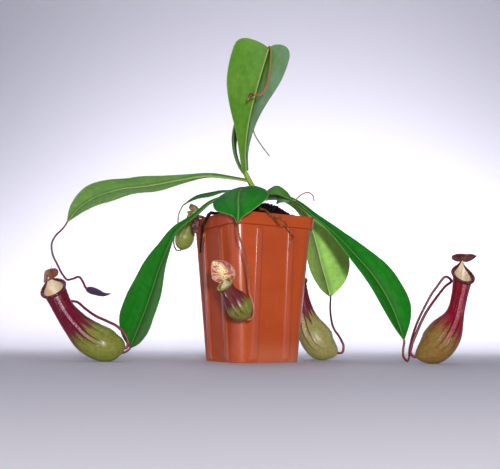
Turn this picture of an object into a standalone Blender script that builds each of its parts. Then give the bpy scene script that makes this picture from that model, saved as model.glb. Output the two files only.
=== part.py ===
"""Potted nepenthes: a tropical pitcher plant in a square, tapered plastic pot.

The plant has nine leaves on a short stem. Each leaf is a blade that runs on into a tendril, and most tendrils
end in a pitcher: a hollow cup with a swollen foot, a rolled lip and a lid on a neck. The origin is the middle
of the pot's base, +Z is up and the plant's front is towards -Y. Sizes below are in millimetres.
"""
import math

import bmesh
import bpy
import numpy as np

MM = 0.001
GAP = 0.3

# Pot: a rounded square that widens upwards, turned so that a corner points to the front
POT_TURN = 29.6
POT_HEIGHT = 162.0
BASE_SIDE = 83.0
BODY_TOP_SIDE = 104.0
RIM_SIDE = 110.0
BAND_HEIGHT = 14.0
CORNER_RADIUS = 14.0
WALL = 1.6
FLOOR_THICK = 2.0
RIB_PLACE = 20.0
RIB_WIDTH = 7.5
RIB_HEIGHT = 1.1
RIB_RAMP = 0.8
DRAIN_RADIUS = 5.0
DRAIN_PLACE = 24.0

# Soil: fills the pot and heaps up around the stem
SOIL_EDGE = 153.0
SOIL_HEAP = 26.0
SOIL_HEAP_RADIUS = 46.0
SOIL_HEAP_POWER = 2.6
SOIL_BUMP = 1.6

# Stem: stands in a hole in the soil
STEM_RADIUS = 3.8
STEM_TOP_RADIUS = 3.0
STEM_HOLE_DEPTH = 120.0
STEM_ROUTE = [(2, 0, 121), (2, 0, 150), (2, 0, 180), (1, 0, 199), (-4, -3, 208), (-9, -6, 217)]

# Blades: thickness of the flat, and the midrib that stands out beneath it
BLADE_THICK = 0.8
MIDRIB_WIDTH = 1.7
BLADE_ROWS = 17
SMALL_BLADE_ROWS = 11

# Each leaf: midrib route, whose start is moved onto the stem's surface, the way its upper side faces along it,
# half widths at fractions of its length, the angle that each half is folded up by and the angle that it bends
# back by, and the height of the midrib's keel. "lobe" carries the right and the left margin past the midrib's end,
# which gives the notched tip of the top leaf.
LEAVES = {
    "leaf_top": dict(
        midrib=[(-9.6, -6.5, 218.3), (-9, -13, 236), (-7, -22, 260), (-1, -32, 289), (6, -39, 314),
                (17, -45, 351)],
        facing=[(-0.6, 1, 0), (-1, 1, 0.1), (-0.5, 1, 0.2)],
        widths=[(0, 4.5), (0.15, 7), (0.3, 13), (0.5, 28), (0.7, 38), (0.84, 40), (0.94, 36), (0.985, 23),
                (1, 1.6)],
        fold=26, bend=8, keel=1.6, lobe=(22, 10), rows=BLADE_ROWS),
    "leaf_young": dict(
        midrib=[(-9, -2, 212), (-15, 2, 224), (-21, 7.5, 240), (-24, 13, 258), (-22, 18, 280), (-16, 22, 299),
                (-11, 24, 314)],
        facing=[(0.9, -0.5, 0.3), (0.9, -0.5, 0.2)],
        widths=[(0, 2.2), (0.3, 4), (0.6, 7), (0.85, 5), (1, 1.2)],
        fold=50, bend=0, keel=1.2, lobe=(0, 0), rows=SMALL_BLADE_ROWS),
    "leaf_left": dict(
        midrib=[(-10.5, 0, 208), (-24, 9, 213), (-53, 21, 218), (-88, 33, 215), (-125, 43, 210),
                (-165, 51, 206), (-199, 57, 195), (-217, 60, 182), (-229, 62, 167)],
        facing=[(0.1, 0.3, 1), (0, 0.3, 1), (0, 0.28, 1), (-0.2, 0.25, 1), (-0.9, 0.3, 0.6)],
        widths=[(0, 3.5), (0.1, 5), (0.25, 7), (0.4, 13), (0.55, 22), (0.7, 27), (0.82, 27), (0.93, 15),
                (1, 1.4)],
        fold=14, bend=10, keel=1.8, lobe=(0, 0), rows=BLADE_ROWS),
    "leaf_lower_left": dict(
        midrib=[(-5.5, -5, 186), (-20, -14, 187), (-44, -22, 180), (-65, -26, 161), (-85, -24, 144),
                (-97, -18, 121), (-106, -12, 99), (-113, -8, 77), (-123, -4, 49), (-137, -2, 14)],
        facing=[(-0.2, -0.3, 1), (-0.4, -0.5, 0.9), (-0.6, -0.7, 0.5), (-0.65, -0.75, 0.2), (-0.6, -0.8, 0.1)],
        widths=[(0, 2.8), (0.2, 4), (0.35, 7), (0.5, 14), (0.65, 25), (0.8, 32), (0.92, 25), (0.97, 14),
                (1, 1.6)],
        fold=34, bend=14, keel=1.6, lobe=(0, 0), rows=BLADE_ROWS),
    "leaf_front": dict(
        midrib=[(1, -5.5, 192), (-1, -17, 194.5), (-7.5, -34, 194), (-13, -52, 187), (-15, -72, 173),
                (-14.5, -86, 158), (-15, -94, 145)],
        facing=[(0, 0, 1), (-0.15, -0.2, 1), (-0.2, -0.6, 0.9), (-0.1, -0.9, 0.5)],
        widths=[(0, 3), (0.15, 6), (0.3, 19), (0.45, 30), (0.6, 31), (0.75, 25), (0.86, 13), (0.93, 5),
                (1, 1.4)],
        fold=10, bend=24, keel=1.4, lobe=(0, 0), rows=BLADE_ROWS),
    "leaf_right": dict(
        midrib=[(7.5, -1, 191), (28, -5, 192), (51, -10, 181), (69, -15, 165), (88, -21, 148), (104, -27, 131),
                (118, -33, 114), (133, -38, 95), (151, -43, 63), (164, -46, 26)],
        facing=[(0.2, -0.2, 1), (0.45, -0.5, 0.8), (0.5, -0.75, 0.5), (0.5, -0.8, 0.4), (0.6, -0.75, 0.2)],
        widths=[(0, 3), (0.15, 4.5), (0.3, 7), (0.45, 11.5), (0.6, 18.5), (0.75, 25), (0.88, 22.5), (0.95, 12.5),
                (1, 1.5)],
        fold=36, bend=16, keel=1.7, lobe=(0, 0), rows=BLADE_ROWS),
    "leaf_mid_right": dict(
        midrib=[(6, 4.5, 185), (30, 15, 189), (56, 25, 178), (72, 31, 155), (79, 34, 132), (84, 35, 112),
                (90, 36, 91), (94, 36, 75)],
        facing=[(0.1, 0.1, 1), (0.5, 0.7, 0.7), (0.62, 0.75, 0.2), (0.62, 0.75, 0.1)],
        widths=[(0, 3), (0.25, 5), (0.4, 11), (0.55, 24), (0.72, 34), (0.86, 30), (0.95, 16), (1, 1.5)],
        fold=42, bend=12, keel=1.6, lobe=(0, 0), rows=BLADE_ROWS),
    "leaf_short": dict(
        midrib=[(6.5, -5, 184), (16, -12.5, 193), (27.5, -21.5, 198), (37.5, -29.5, 191), (46, -36, 178)],
        facing=[(0, 0, 1), (0.3, 0.1, 1), (0.8, 0.4, 0.8)],
        widths=[(0, 3), (0.2, 9), (0.45, 18), (0.7, 20.5), (0.9, 11), (1, 1.2)],
        fold=-46, bend=12, keel=0.9, lobe=(0, 0), rows=SMALL_BLADE_ROWS),
    "leaf_small": dict(
        midrib=[(-2.5, 3.5, 195), (-22, 9, 198), (-47, 14, 194), (-67, 18, 190), (-81, 22, 183)],
        facing=[(0, -0.3, 1), (0, -0.5, 1), (-0.3, -0.5, 0.9)],
        widths=[(0, 2.2), (0.35, 4.5), (0.65, 10), (0.88, 7), (1, 1.2)],
        fold=12, bend=8, keel=1.0, lobe=(0, 0), rows=SMALL_BLADE_ROWS),
}

# Leaves whose folded or slanting base needs more room beside the stem than the plain gap
SEAT_CLEAR = {"leaf_young": 2.0, "leaf_left": 1.1}

# Tendrils and dried strands: route, radius at the start and at the end
TENDRILS = {
    "tendril_top": dict(
        route=[(17.4, -46, 352), (19, -54, 349), (19.5, -61, 336), (18, -63, 318), (14, -62, 300),
               (9, -60, 293), (2, -58, 293)],
        radii=(1.0, 1.1)),
    "tendril_young": dict(
        route=[(-10.5, 24.5, 315), (-5, 30, 314), (-1, 38, 296), (2, 43, 276), (10, 46, 263), (21, 48, 249)],
        radii=(0.9, 0.8)),
    "tendril_left": dict(
        route=[(-229.3, 62, 166.5), (-235, 63, 158), (-243, 64, 150), (-248, 65, 141), (-247, 66, 127),
               (-240, 66, 113), (-233, 65, 101), (-227, 63, 95), (-219, 60, 96), (-211, 56, 98),
               (-205, 51, 92), (-200, 47, 84)],
        radii=(1.0, 1.5)),
    "tendril_lower_left": dict(
        route=[(-137.6, -2, 13), (-143, -4, 9), (-156, -6, 9), (-175, -9, 22), (-192, -14, 42),
               (-204, -19, 57), (-204, -20, 65), (-196, -21, 65), (-184, -25, 57), (-171, -31, 49),
               (-158, -34, 43.5), (-146, -35, 37.5), (-137, -35, 28), (-134.3, -35, 20), (-135.7, -35, 15)],
        radii=(1.3, 1.6)),
    "tendril_front": dict(
        route=[(-15, -94.6, 144.3), (-14.5, -96, 138), (-13, -96, 129), (-8, -94, 116), (-5, -90, 102),
               (-3.5, -82, 88), (-2.5, -74, 74), (2, -71, 60), (2, -74, 50), (-1, -78.5, 46), (-3.6, -81.4, 46.3)],
        radii=(0.9, 1.0)),
    "tendril_right": dict(
        route=[(164.3, -46, 25), (163, -47, 16), (163, -47, 8), (167, -44, 3.5), (171, -35, 5),
               (175, -23, 16), (182, -16, 36), (194, -14, 61), (208, -15, 84), (220, -17, 96), (224, -19, 92),
               (216, -23, 85), (205, -29, 73), (191, -32, 54), (181, -31, 33), (175.5, -30.5, 19),
               (174.5, -30, 10.5), (178, -30, 7.4)],
        radii=(1.2, 1.7)),
    "tendril_mid_right": dict(
        route=[(94.2, 36.3, 74.2), (94, 38, 64), (95, 42, 52), (99, 47, 38), (107, 50, 26), (111, 50.5, 16),
               (109, 50, 9), (104.9, 50, 8.3)],
        radii=(1.2, 1.5)),
    "tendril_short": dict(
        route=[(46.6, -36.6, 178), (50, -39, 181), (56, -43, 185), (62, -45, 186), (67, -46, 182),
               (68, -46, 176)],
        radii=(0.8, 0.7)),
    "tendril_small": dict(
        route=[(-81.6, 22.3, 182.6), (-85, 25, 178), (-88, 28, 171), (-89, 30, 160), (-93, 32, 146),
               (-93, 32, 135), (-89, 31, 128.5), (-85.2, 30.2, 128.7)],
        radii=(0.8, 0.9)),
    "strand_left": dict(
        route=[(-33, -22, 166.3), (-41, -25, 165.4), (-47.5, -27, 164.7), (-50.2, -27.7, 160.5), (-52, -24.5, 157),
               (-55.4, -19, 153), (-56.2, -16, 148.4), (-57.2, -12.6, 143.6), (-57.8, -9.5, 138.3),
               (-58.6, -6.4, 131.3), (-59, -3, 123)],
        radii=(2.0, 0.9)),
}

# Unopened pitchers: route and radii, thickest before the pointed tip
BUDS = {
    "bud_top": dict(route=[(1.4, -58, 293), (-2, -58, 292.5), (-4.5, -58, 289), (-6, -58, 285.5)],
                    radii=[0.9, 2.2, 1.4, 0.6]),
    "bud_left": dict(route=[(-199.4, 46.3, 83), (-196, 44, 82), (-186, 41, 79), (-176, 38, 76), (-168, 37, 77)],
                     radii=[1.5, 3.6, 4.2, 2.4, 0.6]),
    "pitcher_withered": dict(route=[(-48, 2, 162.6), (-53.5, -1, 163.2), (-58.5, -3.6, 164.1), (-62.2, -6, 163.6),
                                    (-64.4, -7.3, 157), (-64.6, -6.2, 149.5), (-63.8, -5.3, 145.5)],
                             radii=[0.8, 1, 1.5, 2.4, 4, 3.6, 1.2]),
}

# Pitchers: route of the middle from the foot to the mouth with the radius at each point, the way the mouth's
# front faces, how far the back of the lip stands above its front, the neck's extra height, and the lid's own
# route, half width, the way its top faces and the angle that its halves are folded up by. The lip is a roll of the
# given radius, the wall has one thickness all round, and the neck's spread is the turn over which it dies away.
PITCHER_WALL = 1.1
NECK_SPREAD = 0.27
LID_STALK = 2.0
PITCHERS = {
    "pitcher_left": dict(
        route=[(-137.5, -35, 15), (-142, -35, 15.5), (-154, -35, 16.5), (-174, -35, 24.5), (-192, -35, 40),
               (-204.5, -35, 55), (-212.5, -36.5, 69.5)],
        radii=[0, 9.5, 17.2, 18.5, 14, 11.3, 12.5], front=(0.15, -1, 0), rise=17, neck=9, lip=1.4,
        lid=[(-225.5, -27, 90), (-226.5, -23, 94), (-233, -14, 100)], lid_half=11.0, lid_face=(-0.5, -0.7, 0.5),
        lid_fold=8, columns=16, rows=13),
    "pitcher_right": dict(
        route=[(180, -30, 7.8), (185.5, -30, 9.8), (199, -30, 16.9), (211.5, -32, 32.5), (222.5, -34, 52),
               (227, -36, 70), (230, -38, 87)],
        radii=[0, 9, 18, 18.7, 10.3, 8.8, 10.5], front=(0.1, -1, 0), rise=15, neck=11, lip=1.5,
        lid=[(234.5, -28, 113.5), (234, -38, 118), (234, -50, 118)], lid_half=13.5, lid_face=(0, 0.15, 1),
        lid_fold=24, columns=16, rows=13),
    "pitcher_back": dict(
        route=[(104, 50, 8.6), (98.5, 50, 10.6), (86.5, 50, 16.7), (75, 50, 31.5), (67, 50, 50), (62, 50, 68.5),
               (58.5, 50, 85)],
        radii=[0, 9.5, 18.4, 19, 12.5, 9.5, 9.5], front=(-0.6, -1, 0), rise=10, neck=5, lip=1.2,
        lid=[(60.7, 57, 99), (57.5, 52.5, 103.5), (51, 48, 106)], lid_half=9.0, lid_face=(0.3, 0.1, 1),
        lid_fold=8, columns=12, rows=11),
    "pitcher_front": dict(
        route=[(-4, -82, 47), (-6, -83, 49.5), (-11.5, -85.5, 57), (-17, -88, 65), (-22, -90, 71.5),
               (-25.5, -91.5, 77.5)],
        radii=[0, 7.5, 13.5, 12, 8.3, 7.2], front=(-0.4, -1, 0.1), rise=5, neck=4, lip=1.1,
        lid=[(-27, -86.5, 86.5), (-31, -96, 96), (-40, -101, 104)], lid_half=13.0, lid_face=(0, 1, 0.5),
        lid_fold=8, columns=12, rows=10),
    "pitcher_small": dict(
        route=[(-84, 30, 129.5), (-83.5, 30, 132), (-81, 30, 141), (-77.5, 29.5, 152), (-74, 29, 163),
               (-71.5, 28.5, 171)],
        radii=[0, 6.5, 11, 10, 6.2, 5.6], front=(-0.3, -1, 0.2), rise=3, neck=4, lip=0.9,
        lid=[(-68.5, 33, 177), (-70, 27, 182), (-73, 21, 183.5)], lid_half=6.5, lid_face=(0.3, 0.6, 1),
        lid_fold=8, columns=12, rows=10),
}

# Root that lies over the rim at the right: one main strand and its branches
ROOTS = [
    ([(8, -41, 168.6), (12, -48.5, 166), (14.3, -53.4, 164.4), (16.9, -57, 161.5), (21.6, -53.2, 158),
      (27.3, -50, 157.2), (33, -46.8, 156.3), (37, -44.4, 151.9), (38.9, -43.2, 146.4), (41.8, -40.6, 141.9),
      (46.3, -36.5, 137.7)], (1.5, 0.8)),
    ([(20.5, -53.8, 158.7), (22.5, -52.8, 156.5), (25.4, -51.2, 153.7), (29.2, -48.9, 149.5), (32, -47.4, 148),
      (36, -45.1, 148.9), (38.4, -43.6, 148)], (1.2, 1.0)),
    ([(45, -37.8, 139), (44.2, -37.8, 134.7), (42.5, -38.5, 133.3), (41, -38.8, 128), (40, -38.8, 122.7)],
     (0.7, 0.45)),
]

COLOURS = {
    "terracotta plastic": ((0.55, 0.13, 0.045), 0.42),
    "dark soil": ((0.030, 0.018, 0.014), 0.95),
    "green stem": ((0.30, 0.42, 0.06), 0.50),
    "leaf green": ((0.07, 0.30, 0.035), 0.35),
    "light leaf green": ((0.20, 0.42, 0.06), 0.45),
    "tendril brown": ((0.28, 0.06, 0.05), 0.50),
    "pitcher red": ((0.30, 0.03, 0.03), 0.35),
    "pitcher olive": ((0.36, 0.34, 0.07), 0.40),
    "withered brown": ((0.11, 0.045, 0.035), 0.80),
}


def material(name):
    """The named finish, made once."""
    found = bpy.data.materials.get(name)
    if found:
        return found
    colour, rough = COLOURS[name]
    made = bpy.data.materials.new(name)
    made.use_nodes = True
    shader = made.node_tree.nodes["Principled BSDF"]
    shader.inputs["Base Color"].default_value = (*colour, 1.0)
    shader.inputs["Roughness"].default_value = rough
    shader.inputs["Metallic"].default_value = 0.0
    return made


def through(knots, values, at):
    """Smooth curve through values at knots. Between two knots it is a cubic, and the slope at a knot is the mean
    of the slopes on its two sides, each weighted by the length of the other side."""
    knots = np.asarray(knots, float)
    values = np.asarray(values, float).reshape(len(knots), -1)
    steps = np.diff(knots)[:, None]
    slopes = np.diff(values, axis=0) / steps
    bends = np.vstack([slopes[:1], slopes, slopes[-1:]])
    before = np.vstack([steps[:1], steps])
    after = np.vstack([steps, steps[-1:]])
    tangents = (bends[:-1] * after + bends[1:] * before) / (before + after)
    at = np.asarray(at, float)
    piece = np.clip(np.searchsorted(knots, at, side="right") - 1, 0, len(steps) - 1)
    step = steps[piece]
    part = (at[:, None] - knots[piece][:, None]) / step
    start = (1 + 2 * part) * (1 - part) ** 2
    leave = part * (1 - part) ** 2 * step
    end = part ** 2 * (3 - 2 * part)
    arrive = part ** 2 * (part - 1) * step
    return (start * values[piece] + leave * tangents[piece] + end * values[piece + 1]
            + arrive * tangents[piece + 1])


def unit(vectors):
    """The vectors at length one."""
    return vectors / np.linalg.norm(vectors, axis=-1, keepdims=True)


def along(points, at):
    """Places and directions at fractions of the length of the smooth curve through the points."""
    points = np.asarray(points, float)
    knots = np.concatenate([[0.0], np.cumsum(np.linalg.norm(np.diff(points, axis=0), axis=1))])
    fine = np.linspace(0.0, knots[-1], 600)
    walked = np.linalg.norm(np.diff(through(knots, points, fine), axis=0), axis=1)
    length = np.concatenate([[0.0], np.cumsum(walked)])
    where = np.interp(np.asarray(at) * length[-1], length, fine)
    nudge = knots[-1] * 0.002
    ahead = through(knots, points, np.minimum(where + nudge, knots[-1]))
    behind = through(knots, points, np.maximum(where - nudge, 0.0))
    return through(knots, points, where), unit(ahead - behind)


def evenly(values, at):
    """Values given at even steps from 0 to 1, read smoothly at the fractions."""
    return through(np.linspace(0.0, 1.0, len(values)), values, at)


def part_object(name, mesh, finish):
    """A new object for one sub-part."""
    made = bpy.data.objects.new(name, mesh)
    made.data.materials.append(material(finish))
    parts.objects.link(made)
    return made


def closed_grid(name, surface, rows, columns, finish, poles=(False, False)):
    """Solid from a surface of two parameters: rows run along it, columns run round it and meet again. The grid
    comes from Blender, its points are moved onto the surface, and its seam is merged. An end that is a pole has
    all its points in one place, any other end is filled flat."""
    grid = bmesh.new()
    bmesh.ops.create_grid(grid, x_segments=rows - 1, y_segments=columns, size=0.5)
    spots = np.array([vert.co[:2] for vert in grid.verts]) + 0.5
    row = np.rint(spots[:, 0] * (rows - 1)).astype(int)
    column = np.rint(spots[:, 1] * columns).astype(int) % columns
    places = surface[row, column] * MM
    for vert, place in zip(grid.verts, places):
        vert.co = place
    bmesh.ops.remove_doubles(grid, verts=grid.verts, dist=1e-7)
    if not all(poles):
        bmesh.ops.holes_fill(grid, edges=[edge for edge in grid.edges if edge.is_boundary])
    bmesh.ops.triangulate(grid, faces=grid.faces)
    bmesh.ops.recalc_face_normals(grid, faces=grid.faces)
    mesh = bpy.data.meshes.new(name)
    grid.to_mesh(mesh)
    grid.free()
    mesh.shade_smooth()
    mesh.set_sharp_from_angle(angle=math.radians(50))
    return part_object(name, mesh, finish)


def seated(midrib, clear):
    """The midrib with its start moved to stand clear of the stem's surface at that height, square to the stem's
    own direction and on the way to the midrib's next point."""
    share = np.linspace(0.0, 1.0, 200)
    stem, ahead = along(STEM_ROUTE, share)
    nearest = np.argmin(np.abs(stem[:, 2] - midrib[0][2]))
    radius = STEM_RADIUS + (STEM_TOP_RADIUS - STEM_RADIUS) * share[nearest]
    away = np.array(midrib[1], float) - stem[nearest]
    away -= ahead[nearest] * (away @ ahead[nearest])
    return [stem[nearest] + unit(away) * (radius + clear), *midrib[1:]]


def blade(midrib, facing, widths, fold, bend, keel, lobe, rows):
    """Points of a leaf as rows along its midrib and columns once round its section.

    The section's stations run across from one margin to the other on top and back beneath. A station's distance
    from the midrib is measured along a half that starts at the fold angle and bends back evenly, so it lies at
    distance times cosine sideways and distance times sine towards the upper side. The underside is the blade's
    thickness lower, and the keel lower still at the midrib. The margin is carried forward near the tip by the
    lobe of its own side, as the square of the station's share of the half width."""
    step = np.linspace(0.0, 1.0, rows)
    at = 0.3 * step + 0.7 * np.sin(step * math.pi / 2)
    centre, ahead = along(midrib, at)
    up = unit(evenly(facing, at))
    side = unit(np.cross(ahead, up))
    up = np.cross(side, ahead)
    shares, half = zip(*widths)
    half = through(shares, half, at)[:, 0]
    rib = np.minimum(MIDRIB_WIDTH, 0.4 * half)
    reach = np.stack([half, (half + rib) / 2, rib, 0 * half], axis=1)
    across = np.hstack([-reach, reach[:, 2::-1]])
    share = across / half[:, None]
    angle = np.radians(fold - bend * np.abs(share))
    sideways = across * np.cos(angle)
    raised = np.abs(across) * np.sin(angle)
    lobes = np.where(across < 0, lobe[0], lobe[1])
    forward = lobes * share ** 2 * (half / half.max())[:, None] ** 0.6 * at[:, None] ** 6
    middle = (centre[:, None] + side[:, None] * sideways[..., None] + up[:, None] * raised[..., None]
              + ahead[:, None] * forward[..., None])
    lower = np.zeros_like(across)
    lower[:, 3] = keel * (1.15 - at)
    top = middle + up[:, None] * (BLADE_THICK / 2)
    beneath = middle - up[:, None] * (BLADE_THICK / 2 + lower)[..., None]
    return np.concatenate([top, beneath[:, ::-1]], axis=1)


def tube(name, route, radii, finish, count):
    """Tube along a smooth curve through the route, thinning or thickening evenly from one radius to the other."""
    at = np.linspace(0.0, 1.0, count)
    centre, _ = along(route, at)
    curve = bpy.data.curves.new(name, "CURVE")
    curve.dimensions = "3D"
    curve.bevel_depth = MM
    curve.bevel_resolution = 1
    curve.use_fill_caps = True
    spline = curve.splines.new("POLY")
    spline.points.add(count - 1)
    for point, place, share in zip(spline.points, centre * MM, at):
        point.co = (*place, 1.0)
        point.radius = radii[0] + (radii[1] - radii[0]) * share
    return part_object(name, curve, finish)


def frames(ahead, towards):
    """Two directions square to the route at each point: one as near as can be to towards, one beside it."""
    front = np.asarray(towards, float) - ahead * (ahead @ np.asarray(towards, float))[:, None]
    front = unit(front)
    return front, np.cross(ahead, front)


def shares(route):
    """Share of the route's length at each of its points."""
    walked = np.cumsum(np.linalg.norm(np.diff(np.asarray(route, float), axis=0), axis=1))
    return np.concatenate([[0.0], walked / walked[-1]])


def spindle(route, radii, columns, rows):
    """Closed body round a smooth route, its radius read smoothly between the radii at the route's points."""
    at = np.linspace(0.0, 1.0, rows)
    centre, ahead = along(route, at)
    front, beside = frames(ahead, (0.2, -1, 0.3))
    radius = through(shares(route), radii, at)[:, 0]
    turn = np.arange(columns) * 2 * math.pi / columns
    round_way = (front[:, None] * np.cos(turn)[:, None] + beside[:, None] * np.sin(turn)[:, None])
    return centre[:, None] + round_way * radius[:, None, None]


def cup(route, radii, front, rise, neck, lip, columns, rows):
    """Points of a pitcher's cup as rows from its foot up the outside, over the lip and down the inside.

    The outside is the route's circle of the given radius. Towards the mouth each point is lifted along the
    route by the rise times half of one minus the cosine of its turn from the front, plus the neck times a peak
    that dies away from the back on both sides. The lip is a roll of its own radius about a circle just outside
    the rim. The inside is the outside less the wall. A foot that rests on the surface is flat there, and the wall
    over it keeps its thickness."""
    turn = np.arange(columns) * 2 * math.pi / columns
    back = np.minimum(turn, 2 * math.pi - turn) - math.pi
    lift = rise * (1 - np.cos(turn)) / 2 + neck * np.exp(-np.abs(back) / NECK_SPREAD)

    def ring(at, inset):
        centre, ahead = along(route, at)
        ahead_front, beside = frames(ahead, front)
        radius = np.maximum(through(shares(route), radii, at)[:, 0] - inset, 0.0)
        raised = lift * np.clip((at - 0.45) / 0.55, 0, 1)[:, None] ** 1.6
        out = ahead_front[:, None] * np.cos(turn)[:, None] + beside[:, None] * np.sin(turn)[:, None]
        return centre[:, None] + out * radius[:, None, None] + ahead[:, None] * raised[..., None], out, ahead

    levels = 0.5 - 0.5 * np.cos(np.linspace(0.0, 1.0, rows) * math.pi)
    outside, out, ahead = ring(levels, 0.0)
    rim, out, ahead = outside[-1], out[-1], ahead[-1]
    roll = np.radians([-50, 20, 90, 150])[:, None, None]
    rolled = rim + lip * (out * (0.5 + np.cos(roll)) + ahead * (1 + np.sin(roll)))
    inside, _, _ = ring(levels[:1:-1], PITCHER_WALL)
    foot = inside[-1].mean(axis=0) * np.ones((1, columns, 1))
    outside[..., 2] = np.maximum(outside[..., 2], 0.0)
    inside[..., 2] = np.maximum(inside[..., 2], PITCHER_WALL)
    return np.concatenate([outside, rolled, inside, foot])


def lid_plate(route, lid_half, face, fold):
    """Points of a lid: an oval plate, widest in its middle, its halves folded up and bent back, that starts narrow
    on the neck."""
    half = [(0.0, LID_STALK)]
    for share in np.linspace(0.0, 1.0, 8)[1:]:
        half.append((share, lid_half * math.sin(math.pi * (0.06 + 0.9 * share)) ** 0.62))
    return blade(route, [face, face], half, fold=fold, bend=26, keel=0.6, lobe=(0, 0), rows=9)


def join(keep, extra):
    """Fuses one solid into another and removes it."""
    union = keep.modifiers.new("fused", "BOOLEAN")
    union.operation = "UNION"
    union.object = extra
    bpy.context.view_layer.update()
    whole = bpy.data.meshes.new_from_object(keep.evaluated_get(bpy.context.evaluated_depsgraph_get()))
    whole.name = keep.name
    keep.modifiers.clear()
    keep.data = whole
    bpy.data.objects.remove(extra)


def pitcher(name, spec, finish):
    """A cup with its lid and neck fused in one body."""
    shape = {key: value for key, value in spec.items() if not key.startswith("lid")}
    walls = cup(**shape)
    body = closed_grid(name, walls, len(walls), spec["columns"], finish, poles=(True, True))
    plate = lid_plate(spec["lid"], spec["lid_half"], spec["lid_face"], spec["lid_fold"])
    join(body, closed_grid(name + "_lid", plate, len(plate), plate.shape[1], finish))
    return body


def square_ring(side, corner, sides, bends):
    """Points once round a rounded square, turned as the pot is. Sides holds, for one side, the places along it
    and how far each stands out; bends is the number of points round a corner."""
    bend = np.radians(np.linspace(0, 90, bends))
    round_corner = side / 2 - corner + corner * np.column_stack([np.cos(bend), np.sin(bend)])
    straight = np.column_stack([side / 2 + sides[:, 1], sides[:, 0]])
    quarter = np.concatenate([straight, round_corner])
    turned = []
    for index in range(4):
        angle = math.radians(POT_TURN + 90 * index)
        spin = np.array([[math.cos(angle), math.sin(angle)], [-math.sin(angle), math.cos(angle)]])
        turned.append(quarter @ spin)
    return np.concatenate(turned)


def ribbed(height):
    """Places along a side of the pot with its two flat ribs, which stand out by the height between ramps."""
    inner, outer = RIB_PLACE - RIB_WIDTH / 2, RIB_PLACE + RIB_WIDTH / 2
    places = np.array([inner - RIB_RAMP, inner, outer, outer + RIB_RAMP])
    return np.column_stack([np.concatenate([-places[::-1], places]), np.array([0, height, height, 0] * 2)])


def body_side(height):
    """Outer side of the pot's tapering body at a height."""
    return BASE_SIDE + (BODY_TOP_SIDE - BASE_SIDE) * height / (POT_HEIGHT - BAND_HEIGHT)


def pot_profile():
    """Side, height, corner radius and rib height of each ring, from under the base up and back down inside."""
    band = POT_HEIGHT - BAND_HEIGHT
    inner = RIM_SIDE - 2 * WALL
    round_in = CORNER_RADIUS - WALL
    return [
        (BASE_SIDE - 2, 0.0, CORNER_RADIUS - 1, 0), (BASE_SIDE, 1.2, CORNER_RADIUS, 0),
        (body_side(3), 3.0, CORNER_RADIUS, RIB_HEIGHT),
        (body_side(band - 3), band - 3, CORNER_RADIUS, RIB_HEIGHT),
        (body_side(band - 2), band - 2, CORNER_RADIUS, 0), (BODY_TOP_SIDE, band, CORNER_RADIUS, 0),
        (RIM_SIDE - 1.6, band + 0.6, CORNER_RADIUS, 0), (RIM_SIDE - 0.6, band + 2, CORNER_RADIUS, 0),
        (RIM_SIDE, POT_HEIGHT - 1, CORNER_RADIUS, 0), (RIM_SIDE - 1, POT_HEIGHT, CORNER_RADIUS, 0),
        (inner, POT_HEIGHT, round_in, 0), (inner - 1.6, band + 2, round_in, 0),
        (BODY_TOP_SIDE - 2 * WALL, band, round_in, 0),
        (body_side(FLOOR_THICK) - 2 * WALL, FLOOR_THICK, round_in, 0)]


def pot():
    """Thin-walled pot with its rim band, ribs and drain holes."""
    rings = []
    for side, height, corner, rib in pot_profile():
        flat = square_ring(side, corner, ribbed(rib), 5)
        rings.append(np.column_stack([flat, np.full(len(flat), height)]))
    rings = np.array(rings)
    made = closed_grid("pot", rings, len(rings), rings.shape[1], "terracotta plastic")
    for index in range(4):
        angle = math.radians(POT_TURN + 90 * index)
        bpy.ops.mesh.primitive_cylinder_add(
            vertices=16, radius=DRAIN_RADIUS * MM, depth=4 * FLOOR_THICK * MM,
            location=(DRAIN_PLACE * math.cos(angle) * MM, DRAIN_PLACE * math.sin(angle) * MM, 0))
        cutter = bpy.context.object
        cutter.name = f"drain_cutter_{index}"
        cutter.hide_render = True
        cutter.display_type = "WIRE"
        bpy.context.collection.objects.unlink(cutter)
        cutters.objects.link(cutter)
        cut = made.modifiers.new(cutter.name, "BOOLEAN")
        cut.operation = "DIFFERENCE"
        cut.object = cutter


def soil_ring(side, height, corner):
    """Rounded square of the soil at a height."""
    flat = square_ring(side, corner, np.array([(-24, 0), (-8, 0), (8, 0), (24, 0)]), 4)
    return np.column_stack([flat, np.full(len(flat), height)])


def soil_height(x, y):
    """Height of the soil's top: a broad-topped heap over the edge height, roughened by crossed waves."""
    heap = SOIL_HEAP * np.exp(-(np.hypot(x - 5, y) / SOIL_HEAP_RADIUS) ** SOIL_HEAP_POWER)
    waves = np.sin(0.55 * x + 0.31 * y) + np.sin(0.47 * y - 0.38 * x + 2) + 0.7 * np.sin(0.9 * x - 0.8 * y + 1)
    return SOIL_EDGE + heap + SOIL_BUMP * waves / 2


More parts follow.
